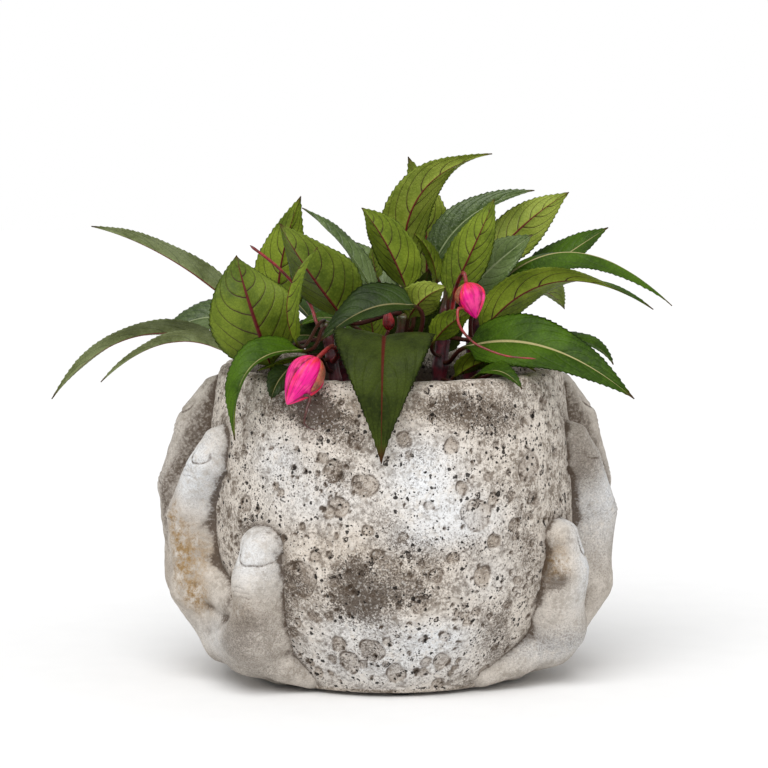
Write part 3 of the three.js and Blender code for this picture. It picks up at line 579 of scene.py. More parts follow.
# Patches of stain, chalky pale and yellow wash, with a painted shade and a painted light among them: angle, height,
# half width in degrees, half height, strength.
moonPatches = {
    "stain": [
        [-7, 58, 11, 13, 0.95], [4, 56, 9, 8, 0.5], [-14, 70, 10, 8, 0.5], [-20, 85, 9, 8, 0.3],
        [-21, 147, 11, 10, 0.7], [16, 152, 12, 8, 0.68], [-34, 152, 12, 9, 0.45], [42, 150, 12, 12, 0.5],
        [44, 60, 8, 22, 0.35], [-32, 62, 7, 11, 0.15], [-38, 30, 8, 22, 0.35], [-50, 88, 6, 20, 0.35],
        [36, 38, 12, 12, 0.25], [-14, 22, 14, 8, 0.15], [180, 80, 30, 30, 0.5], [165, 150, 20, 10, 0.6],
        [205, 148, 16, 12, 0.5],
    ],
    "pale": [
        [10, 118, 12, 20, 1.0], [22, 94, 14, 12, 1.0], [-24, 104, 18, 16, 0.5], [8, 86, 12, 8, 0.6],
        # the wide low patch at -2 degrees, 20 high, is painted light that brightens the lower front of the bowl
        [16, 34, 14, 9, 0.75], [-2, 20, 36, 15, 0.75], [32, 66, 12, 16, 0.4], [-38, 124, 10, 12, 0.6],
        [-12, 40, 14, 8, 0.5], [190, 110, 20, 18, 0.7],
    ],
    "wash": [
        [20, 80, 26, 18, 0.22], [-20, 84, 20, 12, 0.25], [-10, 150, 20, 10, 0.4], [26, 148, 16, 10, 0.4],
        [178, 50, 28, 18, 0.35],
    ],
}
leftPatches = {
    "stain": [
        [-50, 28, 10, 12, 0.75], [-44, 42, 6, 10, 0.5], [-60, 12, 30, 6, 0.4], [-95, 100, 10, 30, 0.25],
        [-120, 60, 25, 30, 0.35],
    ],
    "pale": [[-42, 76, 8, 16, 0.75], [-70, 112, 9, 24, 1.0], [-66, 26, 12, 12, 0.5], [-120, 110, 20, 20, 0.5]],
    "wash": [
        [-76, 86, 2.6, 12, 1.0], [-74.5, 66, 2.8, 12, 1.2], [-71.5, 47, 3, 11, 1.0], [-100, 50, 25, 20, 0.3],
        [-48, 48, 8, 10, 0.4],
    ],
}
rightPatches = {
    "stain": [
        # the long band at 76 degrees, 108 high, is painted shade between the bowl and the index finger; the others are
        # stains
        [55.8, 75, 0.9, 7, 1.5], [56.8, 66, 0.9, 7, 1.7], [58.6, 58, 1.1, 5, 1.2], [76, 108, 5, 34, 0.7],
        [60, 26, 14, 8, 0.45], [78, 60, 9, 24, 0.25], [105, 80, 20, 30, 0.35],
    ],
    "pale": [[66, 70, 5, 26, 1.0], [66, 22, 14, 9, 0.6], [87, 104, 6, 34, 0.9], [130, 100, 18, 20, 0.5]],
    "wash": [[57, 67, 2.6, 12, 1.0], [90, 128, 10, 14, 0.35], [110, 50, 25, 20, 0.3]],
}


# A crater: a flat floor, a short steep wall and a low rim, on an outline that wanders.
# Returns its height, how much a point lies on its dark rim line, which is painted shade at the top of its wall, and on
# its floor.
def craterShape(across, up, radius, depth, wobble):
    turn = np.arctan2(up, across)
    first, second, third = wobble
    outline = 1 + 0.07 * np.sin(2 * turn + first) + 0.05 * np.sin(3 * turn + second) + 0.03 * np.sin(5 * turn + third)
    share = np.hypot(across, up) / (radius * outline)
    wall = 1 - smoothStep(1 - 0.9 / radius, 1 + 0.25 / radius, share)
    rim = 0.16 * np.exp(-((share - 1 - 0.8 / radius) * radius / 0.9) ** 2)
    broken = 0.5 + 0.75 * np.sin(turn + third) * np.sin(3 * turn + first + 1) + 0.25 * np.sin(turn - 0.6)
    line = np.exp(-((share - 0.97) * radius / 0.5) ** 2) * np.clip(broken, 0, 1)
    return depth * (rim - wall), line, wall


# All craters on a grid of angle and height, each worked out only near itself.
def cutCraters(angle, z, craters, seed):
    random = np.random.default_rng(seed)
    height, line, floor = np.zeros((3,) + angle.shape)
    around = moonProfile(z)
    for middle, level, radius, depth in craters:
        turned = (angle - math.radians(middle) + np.pi) % (2 * np.pi) - np.pi
        across, up = turned * around, z - level
        near = (np.abs(across) < 1.9 * radius + 2) & (np.abs(up) < 1.9 * radius + 2)
        wobble = random.uniform(0, 2 * np.pi, 3)
        rise, onLine, onFloor = craterShape(across[near], up[near], radius, depth, wobble)
        height[near] += rise
        line[near] = np.maximum(line[near], onLine)
        floor[near] = np.maximum(floor[near], onFloor)
    return height, line, floor


def seededCraters():
    random = np.random.default_rng(11)
    count = bowl["seededCraters"]
    radius = 0.9 + 3.0 * random.power(0.55, count) * random.uniform(0.5, 1, count)
    angle = random.uniform(-180, 180, count)
    level = bowl["baseZ"] + 4 + (bowl["rimZ"] - bowl["baseZ"] - 10) * random.uniform(0, 1, count)
    depth = random.uniform(0.45, 1.0, count) + 0.45 * (radius < 2)
    return np.stack([angle, level, radius, depth], -1)


# The casting without its hands. Rings run from the middle of the underside up the outer wall, over
# the rim and down inside; columns are closer together at the front.
def makeBowl():
    front, footRound, rimRound = bowl["frontTurn"], bowl["footRound"], bowl["rimRound"]
    angles = np.radians(np.concatenate([
        np.linspace(-front, front, bowl["frontColumns"], endpoint=False),
        np.linspace(front, 360 - front, bowl["backColumns"], endpoint=False),
    ]))
    low, high = bowl["baseZ"] + footRound, bowl["rimZ"] - rimRound
    angle, z = np.meshgrid(angles, np.linspace(low, high, bowl["rows"]))
    height, line, floor = cutCraters(angle, z, np.concatenate([measuredCraters, seededCraters()]), 5)
    bumps, _, _ = cutCraters(angle, z, pebbles, 8)
    radius = moonProfile(z)
    skin = aroundPot(angle, radius, z)
    relief = bumps + height + rolling(skin, bowl["rolling"])
    relief *= smoothStep(bowl["baseZ"], bowl["baseZ"] + 9, z) * 0.9 + 0.1
    chip = bowl["chip"] * waveNoise(aroundPot(angles, 88 + 0 * angles, 160), 9, 9)

    def ringAt(radius, level):
        return aroundPot(angles, radius + 0 * angles + chip * (level > 100), level + chip * (level > 160))

    def roundedRings(radius, level, corner, turns, outwards=-1, upwards=1):
        return [ringAt(radius + outwards * corner * (1 - math.cos(t)), level + upwards * corner * math.sin(t))
                for t in turns]

    def flatRings(reach, shares, level):
        return [aroundPot(angles, share * reach + 0 * angles, level) for share in shares]

    turns = np.radians([20, 45, 70, 90])
    lowReach, top = moonProfile(np.array([low, high]))
    below = flatRings(bowl["baseRadius"] - footRound, (0.15, 0.5, 0.85), bowl["baseZ"])
    below += roundedRings(lowReach, low, footRound, turns[::-1], -1, -1)
    over = roundedRings(top, high, rimRound, turns)
    over += roundedRings(top - bowl["wall"], high, rimRound, np.append(turns[::-1], 0), 1)
    inner = [ringAt(float(moonProfile(np.array(level))) - bowl["wall"], level) for level in bowl["innerLevels"]]
    inner += flatRings(bowl["floorRadius"], (1, 0.6, 0.2), bowl["floorZ"])
    lowRings, highRings = np.stack(below), np.stack(over + inner)
    outer = aroundPot(angle, radius + relief, z)

    # a value for the outer wall, with plain ones for the edge and for the inside
    def onAll(value, edge=0.0, inside=0.0):
        deep = np.full(highRings.shape[:2], edge)
        deep[-len(inner) + 1:] = inside
        return np.append(np.concatenate([np.full(lowRings.shape[:2], edge), value, deep]), [edge, edge])

    # painted shade on the bowl: beside the hands where they meet it, along the crater walls and in dips of the relief
    beside = np.minimum(*[handDistance(skin, skeleton(hands[side])) for side in ("left", "right")]).clip(0)
    shadeBesideHands = (0.6 * np.exp(-beside / 2.4) + 0.35 * np.exp(-beside / 8)) * (0.5 + 0.5 * smoothStep(0, 26, z))
    hollow = np.maximum(1.1 * line, shadeBesideHands) + np.clip(hollowness(relief, 1) * 1.6, 0, 0.7)
    patches = allPatches(angle, z, moonPatches)
    stain = patches["stain"] + 0.12 * floor + 0.2 * waveNoise(skin, 34, 12)
    rings = np.concatenate([lowRings, outer, highRings])
    # inside the bowl the crease value is a plain 0.75, painted shade
    return makePiece("moon_bowl", *closedTube(rings), [moonCement], "cast_cement", ["planter"], {
        "hollow": onAll(hollow, 0.0, 0.75), "stain": onAll(np.clip(stain, 0, 1.2), 0.25, 1.2),
        "pale": onAll(np.clip(patches["pale"] - 0.4 * floor, 0, 1)), "wash": onAll(patches["wash"], 0.2),
        "floor": onAll(floor),
    })


makeBowl()
print("moon bowl made")
makeHand("left_hand", hands["left"], leftPatches, 21)
makeHand("right_hand", hands["right"], rightPatches, 31)
print("hands made")

# A stem: foot, bend, top and radius.
stems = {
    "stem_left": [[-24, -14, 130], [-30, -14, 165], [-34, -12, 188], 3.2],
    "stem_centre": [[2, -18, 130], [4, -20, 165], [7, -16, 192], 3.6],
    "stem_right": [[24, -12, 130], [24, -12, 172], [32, -8, 206], 4],
    "stem_far_right": [[38, 10, 130], [42, 12, 168], [46, 12, 196], 3.6],
    "stem_back": [[8, 20, 130], [8, 20, 178], [9, 18, 214], 3.6],
    "stem_back_left": [[-22, 16, 130], [-26, 18, 168], [-28, 16, 196], 3.4],
}
stemLook = {"sides": 28, "rows": 46, "taper": 0.12, "swell": 0.16, "swollen": (0.42, 0.62, 0.8, 0.95), "ripple": 0.03}


# A point of a Bezier curve for each share t: its guide points, each times its binomial weight.
def bezier(guides, t):
    last, t = len(guides) - 1, np.asarray(t, float)[..., None]
    return sum(math.comb(last, k) * (1 - t) ** (last - k) * t ** k * np.array(guide, float)
               for k, guide in enumerate(guides))


# A smooth line through every given point: each stretch is a cubic with the slope of its neighbours.
def throughPoints(points, count):
    p = np.array(points, float)
    padded = np.concatenate([[2 * p[0] - p[1]], p, [2 * p[-1] - p[-2]]])
    u = np.linspace(0, len(p) - 1 - 1e-9, count)
    i = u.astype(int)
    t = (u - i)[:, None]
    a, b, c, d = (padded[i + k] for k in range(4))
    return 0.5 * (2 * b + (c - a) * t + (2 * a - 5 * b + 4 * c - d) * t ** 2 + (3 * b - a - 3 * c + d) * t ** 3)


def unit(vectors):
    return vectors / np.maximum(np.linalg.norm(vectors, axis=-1, keepdims=True), 1e-9)


# Turns a vector by the smallest turn that takes one direction to another.
def carried(vector, start, end):
    axis, cosine = np.cross(start, end), float(start @ end)
    return vector * cosine + np.cross(axis, vector) + axis * (axis @ vector) / (1 + cosine + 1e-9)


# Directions along a line, and an upright carried along it without twist.
def lineFrames(line):
    along = unit(np.gradient(line, axis=0))
    up = np.array([0.0, 1.0, 0.0] if abs(along[0][2]) > 0.95 else [0.0, 0.0, 1.0])
    ups = [unit(up - (up @ along[0]) * along[0])]
    for row in range(1, len(line)):
        ups.append(carried(ups[-1], along[row - 1], along[row]))
    return along, unit(np.array(ups))


# A round tube along a line: each ring is the line's point plus its radius times the way round.
def tubeRings(line, radii, sides, ripple):
    along, up = lineFrames(line)
    side = np.cross(along, up)
    turn = np.linspace(0, 2 * np.pi, sides, endpoint=False)
    reach = radii[:, None] * (1 + ripple * np.sin(5 * turn)[None, :])
    ring = np.cos(turn)[None, :, None] * side[:, None, :] + np.sin(turn)[None, :, None] * up[:, None, :]
    return line[:, None, :] + reach[..., None] * ring


# Fleshy stalk: red with darker blotches, greener where its own value says so.
def stalkMaterial(name, red, dark, green, roughness):
    material, tree = newMaterial(name, roughness, 0.55)
    coords = objectCoords(tree)
    blotch, streak = noise(coords, 210, 4, 0.65), noise(coords, 900, 3)
    fresh, = attributes(tree, "fresh")
    colour = layered(dark, (spread(blotch, 0.38, 0.62), red), (times(fresh, spread(streak, 0.3, 0.6)), green))
    return coated(material, colour, streak, 0.0002)


stemMaterial = stalkMaterial("maroonStem", "#5a1a24", "#2c1118", "#5c6b34", 0.32)


# A stem: a tube that swells a little at its joints and closes in a dome at its top.
def makeStem(name, foot, bend, top, radius):
    share = np.linspace(0, 1, stemLook["rows"])
    joints = sum(np.exp(-((share - at) / 0.035) ** 2) for at in stemLook["swollen"])
    radii = radius * (1 - stemLook["taper"] * share) * (1 + stemLook["swell"] * joints)
    dome = np.sqrt(np.clip(1 - smoothStep(0.955, 1.0, share) ** 2, 0.02, 1))
    rings = tubeRings(bezier([foot, bend, top], share), radii * dome, stemLook["sides"], stemLook["ripple"])
    fresh = np.append(np.repeat(smoothStep(0.75, 1, share) * 0.6, stemLook["sides"]), [0, 0.6])
    return makePiece(name + "_flesh", *closedTube(rings), [stemMaterial], "dark_stem", [name], {"fresh": fresh})


for stemName, guides in stems.items():
    makeStem(stemName, *guides)
print("stems made")


leafLook = {
    "rowLength": 0.75, "mostRows": 150, "stalkRows": 14, "across": 27, "stalkRadius": 1.15, "thickness": 0.42,
    "quilt": 0.26, "veins": 6.6, "veinLean": 0.14, "veinCurve": 0.34, "veinPower": 2.6, "sideShift": 0.35,
    "toothLength": 3.0, "toothHeight": 0.8, "outlineRise": 0.62, "outlineFall": 1.15,
    "tipRed": "#4a1c14", "footRed": "#421016",
}
leafSides = {
    # base, lighter and shaded patches, midrib, side veins, how strong those are, roughness, gloss
    "bright": ["#5b6c14", "#85962b", "#42520d", "#531114", "#311013", 0.95, 0.5, 0.18],
    "lime": ["#6f7e22", "#98a444", "#55641a", "#5e1a18", "#3a1813", 0.9, 0.48, 0.22],
    "deep": ["#4a5a0f", "#728226", "#36460a", "#531114", "#311013", 0.95, 0.5, 0.18],
    "sage": ["#66703c", "#949f70", "#4c552e", "#6d1d1c", "#4b5530", 0.5, 0.45, 0.3],
    "green": ["#314a08", "#4b6a12", "#1c3004", "#a39a6c", "#526b26", 0.3, 0.42, 0.12],
    "grey": ["#455a22", "#7a8b58", "#263614", "#8f9a70", "#3b4d22", 0.4, 0.32, 0.35],
    "olive": ["#27310a", "#3f4b16", "#161d05", "#4c190e", "#364012", 0.3, 0.46, 0.08],
    "dark": ["#202f0b", "#344716", "#111d06", "#76704a", "#30431a", 0.3, 0.4, 0.15],
    "purple": ["#2a1412", "#472a1c", "#150a0a", "#5a1c20", "#3d2220", 0.5, 0.4, 0.3],
}


# One side of a leaf. The piece's own map runs along the blade and across it, so that a vein is
# wherever a count along the blade, less a lean that grows fast towards the margin, is whole.
def leafMaterial(name, base, light, dark, rib, vein, veinStrength, roughness, gloss):
    material, tree = newMaterial(name, roughness, gloss)
    flat = addNode("SeparateXYZ", {0: addNode("UVMap", {}, tree, uv_map="alongAcross").outputs[0]})
    along, across, coords = flat.outputs[0], flat.outputs[1], objectCoords(tree)
    mottle, broad, wander = noise(coords, 420, 5, 0.7), noise(coords, 40, 2), noise(coords, 150, 3)
    net = cells(coords, 560, "DISTANCE_TO_EDGE").outputs["Distance"]
    out = calc("ABSOLUTE", timesPlus(across, 2.0, -1.0))
    curve = times(calc("POWER", out, leafLook["veinPower"]), leafLook["veinCurve"])
    count = times(minus(along, timesPlus(out, leafLook["veinLean"], curve)), leafLook["veins"])
    count = plus(count, times(calc("GREATER_THAN", across, 0.5), leafLook["sideShift"]))
    count = plus(count, times(wander, 0.16))
    toVein = minus(0.5, calc("ABSOLUTE", minus(calc("FRACT", count), 0.5)))
    veins = spread(calc("DIVIDE", toVein, timesPlus(out, -0.022, 0.045)), 0.55, 1.2, 1.0, 0.0)
    veins = times(veins, spread(out, 0.72, 0.93, veinStrength, 0.0))
    veins = times(veins, spread(along, 0.8, 0.95, 1.0, 0.3))
    colour = layered(
        base,
        (spread(toVein, 0.02, 0.2, 0.4, 0.0), dark),
        (spread(broad, 0.42, 0.64, 0.0, 0.6), light),
        (spread(broad, 0.52, 0.34, 0.0, 0.5), dark),
        (spread(mottle, 0.4, 0.7, 0.0, 0.4), light),
        (spread(net, 0.0, 0.1, 0.35, 0.0), dark),
        (veins, vein),
        (spread(calc("DIVIDE", out, timesPlus(along, -0.036, 0.06)), 0.6, 1.15, 1.0, 0.0), rib),
        (spread(out, 0.95, 1.0, 0.0, 0.7), dark),
        (spread(along, 0.93, 1.0, 0.0, 0.8), leafLook["tipRed"]),
        (spread(along, -0.02, 0.03, 0.92, 0.0), leafLook["footRed"]),
    )
    height = plus(plus(times(spread(toVein, 0.0, 0.16), 0.8), net), times(mottle, 0.3))
    return coated(material, colour, height, 0.0003, 0.8)


leafMaterials = {key: leafMaterial("leaf_" + key, *look) for key, look in leafSides.items()}
print("leaf materials made")

# A leaf: its stem and how far up it starts, foot, middle and tip of the blade, its width, its fold in
# degrees, the way its upper side faces at the foot and, where that differs, at the tip, and the looks
# of its upper and under side where they aren't green and bright.
leaves = {
    "far_left_upper": ["stem_back_left", 0.7, [-72, 0, 187], [-114, 0, 219], [-155, -2, 236], 22, 20,
        [[0, 0.41, 0.91]], "grey", "sage"],
    "far_left_lower": ["stem_back_left", 0.62, [-88, -6, 176], [-136, -14, 179], [-175, -20, 148], 20, 15,
        [[0, 0.5, 0.85], [0, 0.4, 0.9]], "grey", "sage"],
    "left_slim": ["stem_left", 0.8, [-84, -24, 173], [-116, -26, 178], [-149, -30, 158], 15, 15,
        [[0, 0.5, 0.85], [0, 0.3, 0.9]], "grey", "sage"],
    "left_back_grey": ["stem_back_left", 0.5, [-79, 28, 183], [-100, 28, 185], [-121, 28, 175], 22, 10,
        [[0, -0.6, 0.8]], "grey"],
    "left_broad": ["stem_left", 0.6, [-61, -38, 166], [-72, -52, 201], [-79, -32, 223], 45, 10,
        [[-0.1, 1, 0.1], [-0.2, 1, 0.1]], "green", "deep"],
    "left_upright_back": ["stem_back_left", 0.78, [-59, 17, 186], [-57, 20, 216], [-47, 20, 250], 28, 12,
        [[0.1, 1, 0]]],
    "left_centre_broad": ["stem_centre", 1, [-23, -20, 189], [-41, -28, 213], [-57, -24, 239], 42, 22,
        [[0.5, 0.85, 0.3]], "green", "deep"],
    "left_narrow_front": ["stem_left", 1, [-48, -52, 181], [-51, -60, 207], [-37, -54, 229], 14, 30,
        [[1, 0.35, 0]], "grey"],
    "glossy_left": ["stem_back", 0.7, [-8, -2, 199], [-24, 0, 225], [-46, 5, 245], 17, 20, [[0.7, -0.4, 0.6]], "grey"],
    "centre_left_upright": ["stem_centre", 0.85, [9, -20, 204], [-3, -26, 230], [-15, -24, 247], 26, 20,
        [[0.45, 0.85, 0.2]]],
    "top_arching": ["stem_back", 0.8, [8, 6, 202], [14, -4, 251], [52, -10, 274], 27, 18,
        [[-0.35, 0.93, 0], [0, 0.5, 0.87]], "green", "lime"],
    "top_back": ["stem_back", 0.66, [18, 30, 200], [18, 34, 235], [9, 30, 270], 28, 15, [[0.2, 1, 0]], "green", "lime"],
    "centre_back_slim": ["stem_back", 0.82, [21, 16, 211], [41, 18, 239], [75, 20, 253], 20, 30,
        [[-0.3, -0.7, 0.7]], "grey"],
    "centre_right_upright": ["stem_right", 0.8, [30, -17, 200], [43, -20, 228], [53, -17, 251], 22, 12,
        [[-0.1, 1, 0.1]]],
    "upper_right": ["stem_far_right", 0.95, [52, 20, 216], [71, 20, 236], [93, 20, 252], 24, 15,
        [[-0.1, 0.9, -0.3]], "green", "lime"],
    "right_grey": ["stem_far_right", 0.85, [39, 2, 201], [56, -3, 218], [73, -8, 232], 24, 10,
        [[-0.2, -0.9, 0.5]], "grey"],
    "right_back": ["stem_far_right", 0.75, [68, 24, 201], [91, 26, 218], [114, 28, 233], 24, 10, [[-0.2, -0.6, 0.8]]],
    "right_long_upper": ["stem_far_right", 0.6, [43, 2, 191], [90, -6, 223], [145, -16, 196], 28, -25,
        [[-0.1, -0.5, 0.87], [0.45, -0.2, 0.87]]],
    "right_long_lower": ["stem_right", 0.62, [45, -20, 181], [85, -30, 210], [134, -36, 196], 26, 12,
        [[-0.2, 0.9, 0.4], [0.3, -0.25, 0.92]]],
    "right_broad": ["stem_right", 0.45, [38, -32, 176], [79, -52, 178], [123, -62, 153], 31, 6,
        [[0.1, -0.9, 0.6], [0.1, -0.8, 0.7]]],
    "right_under": ["stem_far_right", 0.35, [77, 0, 177], [101, -6, 176], [115, -12, 165], 14, 15, [[0, -0.2, 1]]],
    "front_drooping": ["stem_centre", 0.62, [-2, -35, 174], [-4, -88, 181], [-5, -101, 125], 50, 6,
        [[0, -0.3, 1], [0, -1, 0.1]], "olive"],
    "centre_folded": ["stem_centre", 0.6, [12, -42, 198], [-12, -48, 197], [-36, -50, 181], 28, 20,
        [[0, -0.5, 0.85]], "dark"],
    "centre_small": ["stem_centre", 0.8, [9, -28, 191], [17, -38, 202], [28, -42, 208], 20, 12,
        [[0, 1, 0.3]], "green", "lime"],
    "young_upright": ["stem_back", 0.88, [24, 4, 208], [20, 2, 222], [12, 0, 232], 7, 20, [[0.3, 1, 0]]],
    "right_dark_low": ["stem_right", 0.3, [33, -20, 160], [53, -34, 170], [74, -44, 165], 16, 12,
        [[0, 0.6, 0.8]], "purple"],
    "front_right_small": ["stem_right", 0.34, [43, -50, 163], [55, -62, 167], [66, -70, 159], 12, 15,
        [[0.2, -0.6, 0.8]]],
    "front_left_drooping": ["stem_left", 0.92, [-45, -50, 176], [-72, -68, 168], [-79, -70, 133], 22, 28,
        [[-0.2, -0.6, 0.7], [-0.9, -0.4, 0.2]]],
    "front_left_low": ["stem_left", 0.5, [-41, -42, 173], [-56, -52, 170], [-68, -58, 167], 12, 12, [[0, 0.2, 0.95]]],
    "front_left_tip": ["stem_left", 0.35, [-51, -60, 169], [-57, -76, 163], [-60, -80, 155], 12, 10,
        [[0, -0.9, 0.4], [0, -1, 0.2]], "dark"],
    "left_inner": ["stem_centre", 0.7, [-20, 0, 184], [-34, 3, 188], [-47, 2, 184], 15, 10, [[0, -0.4, 0.9]]],
    "right_inner": ["stem_right", 0.5, [22, -36, 180], [31, -42, 190], [43, -46, 197], 14, 12, [[0, 1, 0.4]]],
    "back_grey": ["stem_back", 0.6, [-3, 34, 194], [-12, 46, 212], [-19, 56, 223], 22, 12, [[0, -0.3, 1]], "grey"],
    "back_olive": ["stem_back", 0.8, [-7, 20, 207], [-9, 24, 215], [-10, 26, 223], 7, 20, [[0, 1, 0.2]], "olive"],
    "centre_shaded": ["stem_back", 0.35, [-9, 8, 175], [-10, 8, 184], [-13, 8, 194], 14, 15, [[0, 1, 0.2]], "dark"],
    "back_left": ["stem_back_left", 0.8, [-40, 40, 180], [-62, 68, 198], [-80, 92, 192], 28, 14,
        [[0, 0.3, 1], [0, 0.5, 0.9]]],
    "back_centre": ["stem_back", 0.72, [5, 48, 192], [4, 76, 210], [0, 104, 202], 30, 14, [[0, 0.3, 1], [0, 0.5, 0.9]]],
    "back_right": ["stem_far_right", 0.7, [58, 40, 184], [78, 66, 196], [94, 92, 184], 28, 14,
        [[0, 0.3, 1], [0, 0.5, 0.9]]],
    "back_drooping": ["stem_back", 0.3, [-14, 56, 168], [-18, 92, 177], [-20, 106, 140], 30, 8,
        [[0, 0.3, 1], [0, 1, 0.2]]],
}
# Small shaded leaves deep in the tuft, which only the looks have.
innerLeaves = {
    "inner_left": ["stem_back_left", 0.45, [-29, 9, 167], [-41, 6, 178], [-59, 2, 175], 21, 10,
        [[0, -0.9, 0.4]], "dark", "olive"],
    "inner_centre": ["stem_back", 0.32, [8, 13, 168], [13, 11, 188], [20, 10, 213], 29, 12,
        [[0, 1, 0.1]], "olive", "olive"],
    "inner_right": ["stem_right", 0.38, [27, -4, 169], [29, -2, 187], [36, -2, 207], 18, 12,
        [[0, 1, 0.1]], "olive", "olive"],
}


# Where a stalk leaves a stem: the stem's own point, the way out square to it and its radius there.
def stemSeat(stemName, at, towards):
    *guides, radius = stems[stemName]
    point = bezier(guides, at)
    return point, unit((np.array(towards, float) - point) * [1, 1, 0]), radius


# The line of a leaf: its stalk leaves the stem square to it and runs on into the midrib.
def leafLine(stemName, at, foot, middle, tip):
    stemPoint, out, radius = stemSeat(stemName, at, foot)
    foot, middle, tip = (np.array(p, float) for p in (foot, middle, tip))
    root = stemPoint + out * (radius + 0.3)
    bend = 2 * middle - (foot + tip) / 2
    reach = np.linalg.norm(root - foot) / 3
    guides = [root, root + out * reach, foot - unit(bend - foot) * reach, foot]
    stalk = bezier(guides, np.linspace(0, 1, leafLook["stalkRows"], endpoint=False))
    length = np.linalg.norm(np.diff(bezier([foot, bend, tip], np.linspace(0, 1, 30)), axis=0), axis=1).sum()
    share = np.linspace(0, 1, int(np.clip(length / leafLook["rowLength"], 40, leafLook["mostRows"])))
    line = np.concatenate([[stemPoint + out * radius * 0.4], stalk, bezier([foot, bend, tip], share)])
    stalkShare = -0.12 * np.linspace(1, 0, len(stalk) + 1, endpoint=False)
    return line, np.concatenate([stalkShare, share]), length


# Uprights of a leaf: turned from the foot's to the tip's along the blade, and carried back
# along the stalk without twist.
def leafUprights(line, share, upFoot, upTip):
    along = unit(np.gradient(line, axis=0))
    v = np.clip(share, 0, 1)[:, None]
    up = np.array(upFoot, float) * (1 - v) + np.array(upTip, float) * v
    up = unit(up - (up * along).sum(1)[:, None] * along)
    for row in range(int((share < 0).sum()) - 1, -1, -1):
        up[row] = carried(up[row + 1], along[row + 1], along[row])
    return along, up


# A leaf's skin. Each ring runs across the upper side and back along the under side. On the
# stalk it is a circle; on the blade it is folded at the rib, arched, quilted between the veins
# and cut in forward teeth at the margin.
def makeLeaf(name, stemName, at, foot, middle, tip, width, fold, ups, upperSide="green", underSide="bright"):
    random = np.random.default_rng(sum(map(ord, name)))
    line, share, length = leafLine(stemName, at, foot, middle, tip)
    along, up = leafUprights(line, share, ups[0], ups[-1])
    side = np.cross(along, up)
    t = np.linspace(-1, 1, leafLook["across"])
    s = np.sign(t) * np.abs(t) ** 1.45
    around = np.concatenate([s, s[-2:0:-1]])
    face = np.repeat([0, 1, 0, -1], [1, len(s) - 2, 1, len(s) - 2])
    v, a = np.clip(share, 0, 1)[:, None], np.abs(around)[None, :]
    # half the width: a power that rises from the foot times one that falls to the tip
    rise, fall = leafLook["outlineRise"], leafLook["outlineFall"]
    peak = (rise / (rise + fall)) ** rise * (fall / (rise + fall)) ** fall
    half = 0.7 * (1 - v) + width / 2 * v ** rise * (1 - v) ** fall / peak + 0.22
    tooth = (v * length / leafLook["toothLength"] + 0.3 * np.sin(v * 9)) % 1
    teeth = leafLook["toothHeight"] * (tooth ** 1.4 - 0.35) * smoothStep(0.03, 0.12, v) * smoothStep(1.0, 0.93, v)
    reach = half * a + teeth * a ** 8
    # quilting: high between the veins, which lean as in the leaf's material
    lean = leafLook["veinLean"] * a + leafLook["veinCurve"] * a ** leafLook["veinPower"]
    phase = (v - lean) * leafLook["veins"] + leafLook["sideShift"] * (around > 0)
    quilt = leafLook["quilt"] * min(1, width / 30) * (np.abs(np.sin(np.pi * (phase % 1))) ** 0.6 - 0.6)
    quilt *= smoothStep(0.02, 0.2, a) * smoothStep(1.0, 0.75, a) * smoothStep(0, 0.1, v)
    wave = np.sin(v * random.uniform(9, 14) + around * 1.5 + random.uniform(0, 6)) * a ** 2 * np.sin(np.pi * v)
    arch = 0.16 * half * (a - a ** 2) * np.sign(fold + 0.1)
    ridge = (0.85 * (1 - v) + 0.25) * np.exp(-(half * a / (0.75 * (1 - v) + 0.4)) ** 2)
    groove = 0.3 * np.exp(-(half * a / 0.9) ** 2)
    thick = leafLook["thickness"] * (1 - 0.75 * a ** 4) / 2
    bend = math.radians(fold)
    lift = reach * math.sin(bend) + arch + quilt + 0.055 * width / 2 * wave
    x = np.sign(around) * reach * math.cos(bend)
    y = lift + face * thick - (face < 0) * ridge - (face > 0) * groove
    # from the stalk's circle into the blade
    angle = np.where(face < 0, -1, 1) * (1 - around) * np.pi / 2
    girth = leafLook["stalkRadius"] * min(1, 0.65 + width / 80)
    blade = smoothStep(0.0, 0.09, v)
    x = girth * np.cos(angle) * (1 - blade) + x * blade
    y = girth * np.sin(angle) * (1 - blade) + y * blade
    rings = line[:, None, :] + x[..., None] * side[:, None, :] + y[..., None] * up[:, None, :]
    rows, columns = x.shape
    w = 0.5 + 0.5 * np.append(around, around[0])
    grid = np.stack(np.meshgrid(share, w, indexing="ij"), -1)
    uvQuads = np.stack([grid[:-1, :-1], grid[:-1, 1:], grid[1:, 1:], grid[1:, :-1]], 2).reshape(-1, 4, 2)
    uvFans = np.zeros((2 * columns, 3, 2)) + [1.0, 0.5]
    uvFans[:columns] = [-0.12, 0.5]
    under = np.tile(np.arange(columns) >= len(s) - 1, rows - 1)
    materials = [leafMaterials[upperSide], leafMaterials[underSide]]
    return makePiece("leaf_" + name + "_blade", *closedTube(rings), materials, "leaf",
                     ["leaf_" + name] if name in leaves else [], None,
                     [uvQuads, uvFans], [under, np.zeros(2 * columns, int)])


for leafName, leafSpec in (leaves | innerLeaves).items():
    makeLeaf(leafName, *leafSpec)
print("leaves made:", len(leaves))


